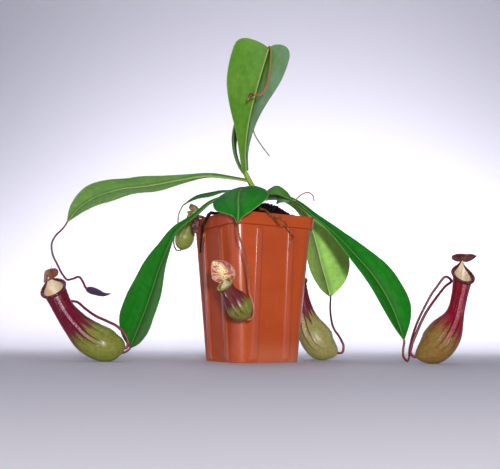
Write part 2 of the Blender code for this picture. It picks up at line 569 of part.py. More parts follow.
def soil():
    """Soil that fills the pot, with a round hole for the stem."""
    slack = 2 * WALL + 2 * GAP
    corner = CORNER_RADIUS - WALL - GAP
    low = FLOOR_THICK + GAP
    band = POT_HEIGHT - BAND_HEIGHT
    bottom = soil_ring(body_side(low) - slack, low, corner)
    upper = soil_ring(body_side(band - 2) - slack, band - 2, corner)
    edge = soil_ring(body_side(band - 2) - slack, SOIL_EDGE, corner)
    stem = np.array(STEM_ROUTE[1][:2] + (0,))
    hole = edge - stem
    hole = stem + hole / np.linalg.norm(hole[:, :2], axis=1)[:, None] * (STEM_RADIUS + GAP)
    rings = [bottom, upper]
    for share in (0, 0.15, 0.35, 0.55, 0.75, 0.9, 1):
        spread = edge + (hole - edge) * share
        spread[:, 2] = soil_height(spread[:, 0], spread[:, 1])
        rings.append(spread)
    shaft = hole.copy()
    shaft[:, 2] = STEM_HOLE_DEPTH
    rings = np.array(rings + [shaft])
    closed_grid("soil", rings, len(rings), rings.shape[1], "dark soil")


def roots():
    """Brown root over the rim: branches fused into the main strand."""
    made = []
    for index, (route, radii) in enumerate(ROOTS):
        at = np.linspace(0.0, 1.0, 2 + len(route))
        radius = radii[0] + (radii[1] - radii[0]) * shares(route)
        points = spindle(route, radius, 5, len(at))
        made.append(closed_grid(f"root_{index}", points, len(points), 5, "withered brown"))
    made[0].name = "root_right"
    for branch in made[1:]:
        join(made[0], branch)


def collection(name):
    """A new collection in the scene."""
    made = bpy.data.collections.new(name)
    bpy.context.scene.collection.children.link(made)
    return made


for old in list(bpy.data.objects):
    bpy.data.objects.remove(old)
parts = collection("potted nepenthes")
cutters = collection("cutters")

pot()
soil()
tube("stem", STEM_ROUTE, (STEM_RADIUS, STEM_TOP_RADIUS), "green stem", 9)
for leaf_name, leaf in LEAVES.items():
    if leaf_name != "leaf_top":
        leaf["midrib"] = seated(leaf["midrib"], SEAT_CLEAR.get(leaf_name, GAP))
    points = blade(**leaf)
    colour = "light leaf green" if leaf_name in ("leaf_top", "leaf_young", "leaf_short") else "leaf green"
    closed_grid(leaf_name, points, len(points), points.shape[1], colour)
for tendril_name, tendril in TENDRILS.items():
    colour = "withered brown" if tendril_name == "strand_left" else "tendril brown"
    tube(tendril_name, tendril["route"], tendril["radii"], colour, 2 * len(tendril["route"]))
for bud_name, bud in BUDS.items():
    points = spindle(bud["route"], bud["radii"], 8, 9)
    closed_grid(bud_name, points, len(points), 8, "withered brown")
for pitcher_name, pitcher_spec in PITCHERS.items():
    colour = "pitcher red" if pitcher_name in ("pitcher_left", "pitcher_right") else "pitcher olive"
    pitcher(pitcher_name, pitcher_spec, colour)
roots()
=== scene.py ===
"""Looks of a potted nepenthes: a tropical pitcher plant in a square plastic pot.

Every CAD node is replaced by a finer surface of the same form: blades with midribs, waved margins and veins,
hollow pitchers with ribbed lips and wings, winding tendrils, a crumbly heap of soil and a moulded pot. Sizes
are in millimetres until a surface is put into its mesh.
"""
import math

import bmesh
import bpy
import numpy as np
from mathutils import Matrix, Vector


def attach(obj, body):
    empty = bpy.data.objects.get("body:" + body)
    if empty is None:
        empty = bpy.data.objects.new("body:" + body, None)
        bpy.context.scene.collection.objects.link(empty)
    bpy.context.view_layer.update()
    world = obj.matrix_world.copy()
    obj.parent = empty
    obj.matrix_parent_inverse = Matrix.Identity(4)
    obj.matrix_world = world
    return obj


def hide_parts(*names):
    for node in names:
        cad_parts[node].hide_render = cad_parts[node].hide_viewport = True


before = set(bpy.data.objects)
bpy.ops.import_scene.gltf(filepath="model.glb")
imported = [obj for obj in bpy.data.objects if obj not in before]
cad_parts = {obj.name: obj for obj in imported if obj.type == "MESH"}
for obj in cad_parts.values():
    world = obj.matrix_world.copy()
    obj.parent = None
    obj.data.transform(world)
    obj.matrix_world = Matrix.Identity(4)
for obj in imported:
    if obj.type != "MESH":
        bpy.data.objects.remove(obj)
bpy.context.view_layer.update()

# A millimetre in metres, the distance within which points are merged, in metres, the gap between the soil
# and the pot, and a full turn
MM = 0.001
MERGE = 2e-8
GAP = 0.3
TURN = 2 * math.pi

# Pot: a rounded square that widens upwards, turned so that a corner points to the front. Each corner has a
# number of bends, and an edge of more degrees than POT_SHARP is shaded sharp.
POT_TURN = 29.6
POT_HEIGHT = 162.0
BASE_SIDE = 83.0
BODY_TOP_SIDE = 104.0
RIM_SIDE = 110.0
BAND_HEIGHT = 14.0
CORNER_RADIUS = 14.0
WALL = 1.6
FLOOR_THICK = 2.0
POT_BENDS = 14
POT_SHARP = 40

# The two ribs on each side: place from the side's middle, width, height at the edges and how much the crown
# adds; and the drain holes: radius and distance from the pot's middle
RIB_PLACE = 20.0
RIB_WIDTH = 7.5
RIB_HEIGHT = 1.1
RIB_CROWN = 0.35
DRAIN_RADIUS = 5.0
DRAIN_PLACE = 24.0

# Soil: fills the pot and heaps up around the stem
SOIL_EDGE = 153.0
SOIL_HEAP = 26.0
SOIL_HEAP_RADIUS = 46.0
SOIL_HEAP_POWER = 2.6
SOIL_BUMP = 1.6

# Stem: stands in a hole in the soil
STEM_RADIUS = 3.8
STEM_TOP_RADIUS = 3.0
STEM_ROUTE = [(2, 0, 121), (2, 0, 150), (2, 0, 180), (1, 0, 199), (-4, -3, 208), (-9, -6, 217)]
STEM_FOOT = np.array(STEM_ROUTE[1][:2], float)

# Blades: thickness of the flat, half width of the midrib that stands out beneath it, depth of the groove
# above it, roundness of the crease, how deep the base is sunk into the stem, and the share of the length at
# which the section starts to ease into the round of the tendril, with that round's radius
BLADE_THICK = 0.8
MIDRIB_WIDTH = 1.7
GROOVE_DEPTH = 0.25
CREASE = 0.6
BASE_SUNK = 1.6
TIP_START = 0.955
TIP_RADIUS = 1.15

# Each leaf: midrib route, whose start is moved onto the stem's surface, the way its upper side faces along
# it, half widths at fractions of its length, the angle that each half is folded up by and the angle that it
# bends back by, and the height of the midrib's keel. "lobe" carries the right and the left margin past the
# midrib's end, which gives the notched tip of the top leaf. "wave" is the height of the margin's waves,
# "waves" their number and "seed" their start.
LEAVES = {
    "leaf_top": dict(
        midrib=[(-9.6, -6.5, 218.3), (-9, -13, 236), (-7, -22, 260), (-1, -32, 289), (6, -39, 314),
            (17, -45, 351)],
        facing=[(-0.6, 1, 0), (-1, 1, 0.1), (-0.5, 1, 0.2)],
        widths=[(0, 4.8), (0.15, 7), (0.3, 13), (0.5, 28), (0.7, 38), (0.84, 39.5), (0.9, 38.5), (0.94, 36),
            (0.965, 31), (0.98, 25), (0.99, 17), (0.996, 9), (1, 1.6)],
        fold=26, bend=8, keel=1.6, lobe=(22, 10), wave=1.3, waves=2.2, seed=3, slot="leaf_light",
        look="leaf fresh green"),
    "leaf_young": dict(
        midrib=[(-9, -2, 212), (-15, 2, 224), (-21, 7.5, 240), (-24, 13, 258), (-22, 18, 280),
            (-16, 22, 299), (-11, 24, 314)],
        facing=[(0.9, -0.5, 0.3), (0.9, -0.5, 0.2)],
        widths=[(0, 2.2), (0.3, 4), (0.6, 7), (0.85, 5), (1, 1.2)],
        fold=50, bend=0, keel=1.2, wave=0.5, waves=1.6, seed=5, rows=60, slot="leaf_light",
        look="leaf fresh green"),
    "leaf_left": dict(
        midrib=[(-10.5, 0, 208), (-24, 9, 213), (-53, 21, 218), (-88, 33, 215), (-125, 43, 210),
            (-165, 51, 206), (-199, 57, 195), (-217, 60, 182), (-229, 62, 167)],
        facing=[(0.1, 0.3, 1), (0, 0.3, 1), (0, 0.28, 1), (-0.2, 0.25, 1), (-0.9, 0.3, 0.6)],
        widths=[(0, 3.5), (0.1, 5), (0.25, 7), (0.4, 13), (0.55, 22), (0.7, 27), (0.82, 27), (0.93, 15),
            (1, 1.4)],
        fold=14, bend=10, keel=1.8, wave=1.5, waves=3.1, seed=7, look="left leaf green"),
    "leaf_lower_left": dict(
        midrib=[(-5.5, -5, 186), (-20, -14, 187), (-44, -22, 180), (-65, -26, 161), (-85, -24, 144),
            (-97, -18, 121), (-106, -12, 99), (-113, -8, 77), (-123, -4, 49), (-137, -2, 14)],
        facing=[(-0.2, -0.3, 1), (-0.4, -0.5, 0.9), (-0.6, -0.7, 0.5), (-0.65, -0.75, 0.2),
            (-0.6, -0.8, 0.1)],
        widths=[(0, 2.8), (0.2, 4), (0.35, 7), (0.5, 14), (0.65, 25), (0.8, 32), (0.92, 25), (0.97, 14),
            (1, 1.6)],
        fold=34, bend=14, keel=1.6, wave=1.6, waves=2.6, seed=9),
    "leaf_front": dict(
        midrib=[(1, -5.5, 192), (-1, -17, 194.5), (-7.5, -34, 194), (-13, -52, 187), (-15, -72, 173),
            (-14.5, -86, 158), (-15, -94, 145)],
        facing=[(0, 0, 1), (-0.15, -0.2, 1), (-0.2, -0.6, 0.9), (-0.1, -0.9, 0.5)],
        widths=[(0, 3), (0.15, 6), (0.3, 19), (0.45, 30), (0.6, 31), (0.75, 25), (0.86, 13), (0.93, 5),
            (1, 1.4)],
        fold=10, bend=24, keel=1.4, wave=1.2, waves=2.2, seed=11),
    "leaf_right": dict(
        midrib=[(7.5, -1, 191), (28, -5, 192), (51, -10, 181), (69, -15, 165), (88, -21, 148),
            (104, -27, 131), (118, -33, 114), (133, -38, 95), (151, -43, 63), (164, -46, 26)],
        facing=[(0.2, -0.2, 1), (0.45, -0.5, 0.8), (0.5, -0.75, 0.5), (0.5, -0.8, 0.4), (0.6, -0.75, 0.2)],
        widths=[(0, 3), (0.15, 4.5), (0.3, 7), (0.45, 11.5), (0.6, 18.5), (0.75, 25), (0.88, 22.5),
            (0.95, 12.5), (1, 1.5)],
        fold=36, bend=16, keel=1.7, wave=1.2, waves=2.4, seed=13),
    "leaf_mid_right": dict(
        midrib=[(6, 4.5, 185), (30, 15, 189), (56, 25, 178), (72, 31, 155), (79, 34, 132), (84, 35, 112),
            (90, 36, 91), (94, 36, 75)],
        facing=[(0.1, 0.1, 1), (0.5, 0.7, 0.7), (0.62, 0.75, 0.2), (0.62, 0.75, 0.1)],
        widths=[(0, 3), (0.25, 5), (0.4, 11), (0.55, 24), (0.72, 34), (0.86, 30), (0.95, 16), (1, 1.5)],
        fold=42, bend=12, keel=1.6, wave=1.4, waves=2.3, seed=15, look="leaf olive green"),
    "leaf_short": dict(
        midrib=[(6.5, -5, 184), (16, -12.5, 193), (27.5, -21.5, 198), (37.5, -29.5, 191), (46, -36, 178)],
        facing=[(0, 0, 1), (0.3, 0.1, 1), (0.8, 0.4, 0.8)],
        widths=[(0, 3), (0.2, 9), (0.45, 18), (0.7, 20.5), (0.9, 11), (1, 1.2)],
        fold=-46, bend=12, keel=0.9, wave=0.6, waves=1.5, seed=17, rows=60, slot="leaf_light",
        look="leaf fresh green"),
    "leaf_small": dict(
        midrib=[(-2.5, 3.5, 195), (-22, 9, 198), (-47, 14, 194), (-67, 18, 190), (-81, 22, 183)],
        facing=[(0, -0.3, 1), (0, -0.5, 1), (-0.3, -0.5, 0.9)],
        widths=[(0, 2.2), (0.35, 4.5), (0.65, 10), (0.88, 7), (1, 1.2)],
        fold=12, bend=8, keel=1.0, wave=0.5, waves=1.7, seed=19, rows=60),
}

# Tendrils and dried strands: route, whose ends lie inside the pieces that they join, the radius at the start
# and at the end, and the radius of the very last point where it differs
TENDRILS = {
    "tendril_top": dict(
        route=[(16.2, -44, 348), (17.4, -46, 352), (19, -54, 349), (19.5, -61, 336), (18, -63, 318),
            (14, -62, 300), (9, -60, 293), (2, -58, 293), (-0.5, -58, 293)],
        radii=(1.0, 1.1), look="tendril amber"),
    "tendril_young": dict(
        route=[(-13, 23, 311), (-10.5, 24.5, 315), (-5, 30, 314), (-1, 38, 296), (2, 43, 276), (10, 46, 263),
            (21, 48, 249)],
        radii=(0.9, 0.8), look="tendril grey green"),
    "tendril_left": dict(
        route=[(-228, 61.8, 170), (-229.3, 62, 166.5), (-235, 63, 158), (-243, 64, 150), (-248, 65, 141),
            (-247, 66, 127), (-240, 66, 113), (-233, 65, 101), (-227, 63, 95), (-219, 60, 96),
            (-211, 56, 98), (-205, 51, 92), (-200, 47, 84), (-198.5, 45.7, 82.8)],
        radii=(1.0, 1.5), look="tendril maroon"),
    "tendril_lower_left": dict(
        route=[(-135, -2.4, 19), (-137.6, -2, 13), (-143, -4, 9), (-156, -6, 9), (-175, -9, 22),
            (-192, -14, 42), (-204, -19, 57), (-204, -20, 65), (-196, -21, 65), (-184, -25, 57),
            (-171, -31, 49), (-158, -34, 43.5), (-146, -35, 37.5), (-137, -35, 28), (-134.3, -35, 20),
            (-135.7, -35, 15), (-139.5, -35, 15.2)],
        radii=(1.3, 1.6), last_radius=2.6, look="tendril maroon"),
    "tendril_front": dict(
        route=[(-15, -93, 147), (-15, -94.6, 144.3), (-14.5, -96, 138), (-13, -96, 129), (-8, -94, 116),
            (-5, -90, 102), (-3.5, -82, 88), (-2.5, -74, 74), (2, -71, 60), (2, -74, 50), (-1, -78.5, 46),
            (-3.6, -81.4, 46.3), (-5.5, -82.7, 49)],
        radii=(0.9, 1.0), last_radius=2.0, look="tendril pink brown"),
    "tendril_right": dict(
        route=[(163, -45.8, 29), (164.3, -46, 25), (163, -47, 16), (163, -47, 8), (167, -44, 3.5),
            (171, -35, 5), (175, -23, 16), (182, -16, 36), (194, -14, 61), (208, -15, 84), (220, -17, 96),
            (224, -19, 92), (216, -23, 85), (205, -29, 73), (191, -32, 54), (181, -31, 33),
            (175.5, -30.5, 19), (174.5, -30, 10.5), (178, -30, 7.4), (182, -30, 8.4)],
        radii=(1.2, 1.7), last_radius=2.8, look="tendril crimson"),
    "tendril_mid_right": dict(
        route=[(93.8, 36, 78), (94.2, 36.3, 74.2), (94, 38, 64), (95, 42, 52), (99, 47, 38), (107, 50, 26),
            (111, 50.5, 16), (109, 50, 9), (104.9, 50, 8.3), (102, 50, 9.4)],
        radii=(1.2, 1.5), last_radius=2.6, look="tendril dark crimson"),
    "tendril_short": dict(
        route=[(45, -35, 180), (46.6, -36.6, 178), (50, -39, 181), (56, -43, 185), (62, -45, 186),
            (67, -46, 182), (68, -46, 176)],
        radii=(0.8, 0.7), look="tendril amber"),
    "tendril_small": dict(
        route=[(-80, 21.8, 184), (-81.6, 22.3, 182.6), (-85, 25, 178), (-88, 28, 171), (-89, 30, 160),
            (-93, 32, 146), (-93, 32, 135), (-89, 31, 128.5), (-85.2, 30.2, 128.7), (-83.6, 30, 131)],
        radii=(0.8, 0.9), last_radius=1.8, look="tendril pale green"),
    # strand_left: near black, partly a dead strand and partly standing in for shade cast on the pot's left
    # face
    "strand_left": dict(
        route=[(-33, -22, 166.3), (-41, -25, 165.4), (-47.5, -27, 164.7), (-50.2, -27.7, 160.5),
            (-52, -24.5, 157), (-55.4, -19, 153), (-56.2, -16, 148.4), (-57.2, -12.6, 143.6),
            (-57.8, -9.5, 138.3), (-58.6, -6.4, 131.3), (-59, -3, 123)],
        radii=(2.0, 0.9), look="dead strand", slot="withered", rough=0.35),
}

# Unopened pitchers and a withered one: route and radii, thickest before the tip
BUDS = {
    "bud_top": dict(
        route=[(1.4, -58, 293), (-2, -58, 292.5), (-4.5, -58, 289), (-6, -58, 285.5)],
        radii=[0.9, 2.2, 1.4, 0.6], look="bud maroon black"),
    "bud_left": dict(
        route=[(-199.4, 46.3, 83), (-196, 44, 82), (-186, 41, 79), (-176, 38, 76), (-168, 37, 77)],
        radii=[1.5, 3.6, 4.2, 2.4, 0.6], look="bud purple"),
    "pitcher_withered": dict(
        route=[(-48, 2, 162.6), (-53.5, -1, 163.2), (-58.5, -3.6, 164.1), (-62.2, -6, 163.6),
            (-64.4, -7.3, 157), (-64.6, -6.2, 149.5), (-63.8, -5.3, 145.5)],
        radii=[0.8, 1, 1.5, 2.4, 4, 3.6, 1.2], look="withered mauve brown", rough=0.3),
}

# Pitchers: route of the middle from the foot to the mouth with the radius at each point, the way the mouth's
# front faces, how far the back of the lip stands above its front, the neck's extra height, and the lid's own
# route, half width, the way its top faces and the angle that its halves are folded up by. The lip is a roll
# of the given radius, the wall has one thickness all round, and the neck's spread is the turn over which it
# dies away. "wings" holds the wings' distance from the front line, their width and their height. The spur
# stands behind the lid, whose base is sunk into the neck. The wings' distance is a turn of the cup where it
# is wider than WING_FROM, and the lip's roll runs between two angles.
PITCHER_WALL = 1.1
NECK_SPREAD = 0.27
WING_FROM = 4.0
LIP_ROLL = (-75, 205)
LIP_RIBS = 84
LID_SUNK = 2.5
PITCHERS = {
    "pitcher_left": dict(
        route=[(-137.5, -35, 15), (-142, -35, 15.5), (-154, -35, 16.5), (-174, -35, 24.5), (-192, -35, 40),
            (-204.5, -35, 55), (-212.5, -36.5, 69.5)],
        radii=[0, 9.5, 17.2, 18.5, 14, 11.3, 12.5], front=(0.15, -1, 0), rise=17, neck=9, lip=1.4,
        wings=(3.6, 0.9, 1.5),
        lid=[(-225.5, -27, 90), (-226.5, -23, 94), (-233, -14, 100)], lid_half=11.0,
        lid_face=(-0.5, -0.7, 0.5),
        spur=[(-226, -26.5, 91), (-225, -25, 98), (-224, -24, 105)], slot="pitcher_red"),
    "pitcher_right": dict(
        route=[(180, -30, 7.8), (185.5, -30, 9.8), (199, -30, 16.9), (211.5, -32, 32.5), (222.5, -34, 52),
            (227, -36, 70), (230, -38, 87)],
        radii=[0, 9, 18, 18.7, 10.3, 8.8, 10.5], front=(0.1, -1, 0), rise=15, neck=11, lip=1.5,
        wings=(4.0, 0.9, 1.6),
        lid=[(234.5, -28, 113.5), (234, -38, 118), (234, -50, 118)], lid_half=13.5, lid_face=(0, 0.15, 1),
        lid_fold=24,
        spur=[(234.5, -28, 112), (236, -24, 116), (238, -21, 121)], slot="pitcher_red"),
    "pitcher_back": dict(
        route=[(104, 50, 8.6), (98.5, 50, 10.6), (86.5, 50, 16.7), (75, 50, 31.5), (67, 50, 50),
            (62, 50, 68.5), (58.5, 50, 85)],
        radii=[0, 9.5, 18.4, 19, 12.5, 9.5, 9.5], front=(-0.6, -1, 0), rise=10, neck=5, lip=1.2,
        wings=(3.6, 0.9, 1.0),
        lid=[(60.7, 57, 99), (57.5, 52.5, 103.5), (51, 48, 106)], lid_half=9.0, lid_face=(0.3, 0.1, 1),
        spur=[(60.7, 57.5, 98), (63, 60, 102), (65, 62, 106)], slot="pitcher_olive"),
    "pitcher_front": dict(
        route=[(-4, -82, 47), (-6, -83, 49.5), (-11.5, -85.5, 57), (-17, -88, 65), (-22, -90, 71.5),
            (-25.5, -91.5, 77.5)],
        radii=[0, 7.5, 13.5, 12, 8.3, 7.2], front=(-0.4, -1, 0.1), rise=5, neck=4, lip=1.1,
        wings=(2.8, 0.8, 0.9),
        lid=[(-27, -86.5, 86.5), (-31, -96, 96), (-40, -101, 104)], lid_half=13.0, lid_face=(0, 1, 0.5),
        spur=[(-27, -86.5, 86), (-25, -83, 89), (-23, -80, 92)], slot="pitcher_olive",
        lip_look="lip yellow green"),
    "pitcher_small": dict(
        route=[(-84, 30, 129.5), (-83.5, 30, 132), (-81, 30, 141), (-77.5, 29.5, 152), (-74, 29, 163),
            (-71.5, 28.5, 171)],
        radii=[0, 6.5, 11, 10, 6.2, 5.6], front=(-0.3, -1, 0.2), rise=3, neck=4, lip=0.9,
        wings=(2.2, 0.7, 0.6),
        lid=[(-68.5, 33, 177), (-70, 27, 182), (-73, 21, 183.5)], lid_half=6.5, lid_face=(0.3, 0.6, 1),
        spur=[(-68.5, 32.5, 176.5), (-67, 35, 178), (-66, 36, 180)], slot="pitcher_olive",
        lip_look="lip yellow green"),
}

# Root that lies over the rim at the right: one main strand and its branches
ROOTS = [
    ([(8, -41, 168.6), (12, -48.5, 166), (14.3, -53.4, 164.4), (16.9, -57, 161.5), (21.6, -53.2, 158),
      (27.3, -50, 157.2), (33, -46.8, 156.3), (37, -44.4, 151.9), (38.9, -43.2, 146.4), (41.8, -40.6, 141.9),
      (46.3, -36.5, 137.7)], (1.5, 0.8)),
    ([(20.5, -53.8, 158.7), (22.5, -52.8, 156.5), (25.4, -51.2, 153.7), (29.2, -48.9, 149.5),
      (32, -47.4, 148), (36, -45.1, 148.9), (38.4, -43.6, 148)], (1.2, 1.0)),
    ([(45, -37.8, 139), (44.2, -37.8, 134.7), (42.5, -38.5, 133.3), (41, -38.8, 128), (40, -38.8, 122.7)],
     (0.7, 0.45)),
]


def through(knots, values, at):
    """Smooth curve through values at knots. Between two knots it is a cubic, and the slope at a knot is
    the mean of the slopes on its two sides, each weighted by the length of the other side."""
    knots = np.asarray(knots, float)
    values = np.asarray(values, float).reshape(len(knots), -1)
    steps = np.diff(knots)[:, None]
    slopes = np.diff(values, axis=0) / steps
    bends = np.vstack([slopes[:1], slopes, slopes[-1:]])
    before = np.vstack([steps[:1], steps])
    after = np.vstack([steps, steps[-1:]])
    tangents = (bends[:-1] * after + bends[1:] * before) / (before + after)
    at = np.asarray(at, float)
    piece = np.clip(np.searchsorted(knots, at, side="right") - 1, 0, len(steps) - 1)
    step = steps[piece]
    part = (at[:, None] - knots[piece][:, None]) / step
    start = (1 + 2 * part) * (1 - part) ** 2
    leave = part * (1 - part) ** 2 * step
    end = part ** 2 * (3 - 2 * part)
    arrive = part ** 2 * (part - 1) * step
    return (start * values[piece] + leave * tangents[piece] + end * values[piece + 1]
            + arrive * tangents[piece + 1])


def unit(vectors):
    """The vectors at length one."""
    return vectors / np.linalg.norm(vectors, axis=-1, keepdims=True)


def along(points, at):
    """Places and directions at fractions of the length of the smooth curve through the points. The length
    is walked in 600 steps, and a direction is the way from just behind the place to just ahead of it."""
    points = np.asarray(points, float)
    knots = np.concatenate([[0.0], np.cumsum(np.linalg.norm(np.diff(points, axis=0), axis=1))])
    fine = np.linspace(0.0, knots[-1], 600)
    walked = np.linalg.norm(np.diff(through(knots, points, fine), axis=0), axis=1)
    length = np.concatenate([[0.0], np.cumsum(walked)])
    where = np.interp(np.asarray(at) * length[-1], length, fine)
    nudge = knots[-1] * 0.002
    ahead = through(knots, points, np.minimum(where + nudge, knots[-1]))
    behind = through(knots, points, np.maximum(where - nudge, 0.0))
    return through(knots, points, where), unit(ahead - behind)


def evenly(values, at):
    """Values given at even steps from 0 to 1, read smoothly at the fractions."""
    return through(np.linspace(0.0, 1.0, len(values)), values, at)


def shares(route):
    """Share of the route's length at each of its points."""
    walked = np.cumsum(np.linalg.norm(np.diff(np.asarray(route, float), axis=0), axis=1))
    return np.concatenate([[0.0], walked / walked[-1]])


def frames(ahead, towards):
    """Two directions square to the route at each point: one as near as can be to towards, one beside it."""
    front = np.asarray(towards, float) - ahead * (ahead @ np.asarray(towards, float))[:, None]
    front = unit(front)
    return front, np.cross(ahead, front)


def carried(ahead, towards):
    """The same two directions, carried along the route ring by ring so that they never twist."""
    front = np.empty_like(ahead)
    last = np.asarray(towards, float)
    for index, way in enumerate(ahead):
        last = last - way * (last @ way)
        last = last / np.linalg.norm(last)
        front[index] = last
    return front, np.cross(ahead, front)


def ease(low, high, value):
    """Smooth step: 0 below low, 1 above high, three times the square less twice the cube between them."""
    part = np.clip((value - low) / (high - low), 0.0, 1.0)
    return part * part * (3 - 2 * part)


def lumps(places, size, seed):
    """Smooth noise from -1 to 1 with lumps of a size: random values on a cubic lattice, blended by a
    smooth step along each axis."""
    lattice = np.random.default_rng(seed).uniform(-1, 1, (32, 32, 32))
    spot = places / size + 100.5
    cell = np.floor(spot).astype(int)
    part = spot - cell
    part = part * part * (3 - 2 * part)
    total = np.zeros(places.shape[:-1])
    for corner in np.ndindex(2, 2, 2):
        corner = np.array(corner)
        weight = np.prod(np.where(corner == 1, part, 1 - part), axis=-1)
        pick = (cell + corner) % 32
        total += weight * lattice[pick[..., 0], pick[..., 1], pick[..., 2]]
    return total


def closed_round(points):
    """The rows with their first column repeated as the last."""
    return np.concatenate([points, points[:, :1]], axis=1)


def round_uv(columns, run):
    """UV places of a surface in rings: the share of the way round, and each ring's own run."""
    return np.stack(np.broadcast_arrays(np.linspace(0.0, 1.0, columns)[None], run[:, None]), axis=-1)


def capped(grid):
    """A surface dict whose first and last rows are closed by a row of points at their middle."""
    out = dict(grid)
    points = grid["points"]
    first = np.broadcast_to(points[0, :-1].mean(axis=0), points[:1].shape)
    last = np.broadcast_to(points[-1, :-1].mean(axis=0), points[:1].shape)
    out["points"] = np.concatenate([first, points, last])
    out["uv"] = np.concatenate([grid["uv"][:1], grid["uv"], grid["uv"][-1:]])
    out["marks"] = {name: np.concatenate([mark[:1], mark, mark[-1:]])
                    for name, mark in grid.get("marks", {}).items()}
    return out


def two_sided(top, beneath, share, at, marks):
    """A sheet as a closed surface: each row runs over the top and back beneath. The UV place is the share of
    the way across and along, the same on both sides, and the mark "under" is 0 on top and 1 beneath."""
    def both(upper, lower):
        return closed_round(np.concatenate([upper, lower[:, ::-1]], axis=1))

    at = np.broadcast_to(at, share.shape)
    across = (share + 1) / 2
    marks = {name: both(values, values) for name, values in marks.items()}
    marks["under"] = both(0 * share, 0 * share + 1)
    return capped({"points": both(top, beneath), "marks": marks,
                   "uv": np.stack([both(across, across), both(at, at)], axis=-1)})


def link(name, data):
    """A new object in the scene."""
    made = bpy.data.objects.new(name, data)
    bpy.context.scene.collection.objects.link(made)
    return made


def piece(name, node, slot, grids, finishes, sharp=80):
    """One mesh from closed surfaces, in place of a CAD node if one is named. A surface holds points in rows
    that run once round, whose last column repeats the first, a UV place for each point, a finish for each
    row of faces, and marks, which are numbers at each point. Faces of a surface whose signed volume is
    negative are turned round, and points that share a place are merged, which closes seams and poles."""
    places, quads, coordinates, chosen = [], [], [], []
    marks = {}
    total = 0
    for grid in grids:
        points = grid["points"]
        rows, columns = points.shape[:2]
        row, column = np.meshgrid(np.arange(rows - 1), np.arange(columns - 1), indexing="ij")
        first = (row * columns + column).reshape(-1)
        faces = np.stack([first, first + columns, first + columns + 1, first + 1], axis=-1)
        flat = points.reshape(-1, 3)
        a, b, c, d = (flat[faces[:, corner]] for corner in range(4))
        volume = np.einsum("ij,ij->", a, np.cross(b, c)) + np.einsum("ij,ij->", a, np.cross(c, d))
        if volume < 0:
            faces = faces[:, ::-1]
        places.append(flat)
        quads.append(faces + total)
        coordinates.append(grid["uv"].reshape(-1, 2)[faces].reshape(-1, 2))
        finish = np.broadcast_to(np.asarray(grid.get("finish", 0)).reshape(-1, 1), (rows - 1, 1))
        chosen.append(np.broadcast_to(finish, (rows - 1, columns - 1)).reshape(-1))
        for mark, values in grid.get("marks", {}).items():
            marks.setdefault(mark, []).append(values.reshape(-1))
        total += len(flat)
    mesh = bpy.data.meshes.new(name)
    mesh.from_pydata((np.concatenate(places) * MM).tolist(), [], np.concatenate(quads).tolist())
    mesh.uv_layers.new(name="UVMap").data.foreach_set("uv", np.concatenate(coordinates).reshape(-1))
    mesh.polygons.foreach_set("material_index", np.concatenate(chosen).astype(np.int32))
    for mark, values in marks.items():
        made = mesh.attributes.new(mark, "FLOAT", "POINT")
        made.data.foreach_set("value", np.concatenate(values))
    merged = bmesh.new()
    merged.from_mesh(mesh)
    bmesh.ops.remove_doubles(merged, verts=merged.verts, dist=MERGE)
    merged.to_mesh(mesh)
    merged.free()
    mesh.shade_smooth()
    mesh.set_sharp_from_angle(angle=math.radians(sharp))
    made = link(name, mesh)
    for look in finishes:
        mesh.materials.append(look)
    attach(made, "root")
    if node:
        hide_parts(node)
    return made


def seated(midrib, clear):
    """The midrib with its start moved to stand clear of the stem's surface at that height, square to the
    stem's own direction and on the way to the midrib's next point. A negative clear sinks it in."""
    share = np.linspace(0.0, 1.0, 200)
    stem, ahead = along(STEM_ROUTE, share)
    nearest = np.argmin(np.abs(stem[:, 2] - midrib[0][2]))
    radius = STEM_RADIUS + (STEM_TOP_RADIUS - STEM_RADIUS) * share[nearest]
    away = np.array(midrib[1], float) - stem[nearest]
    away -= ahead[nearest] * (away @ ahead[nearest])
    return [stem[nearest] + unit(away) * (radius + clear), *midrib[1:]]


def laid(route, at, up):
    """Places along the middle of a sheet, and there the way ahead, the way to its side and the way its
    upper side faces, all three square to each other."""
    centre, ahead = along(route, at)
    side = unit(np.cross(ahead, unit(up)))
    return centre[:, None], ahead[:, None], side[:, None], np.cross(side, ahead)[:, None]


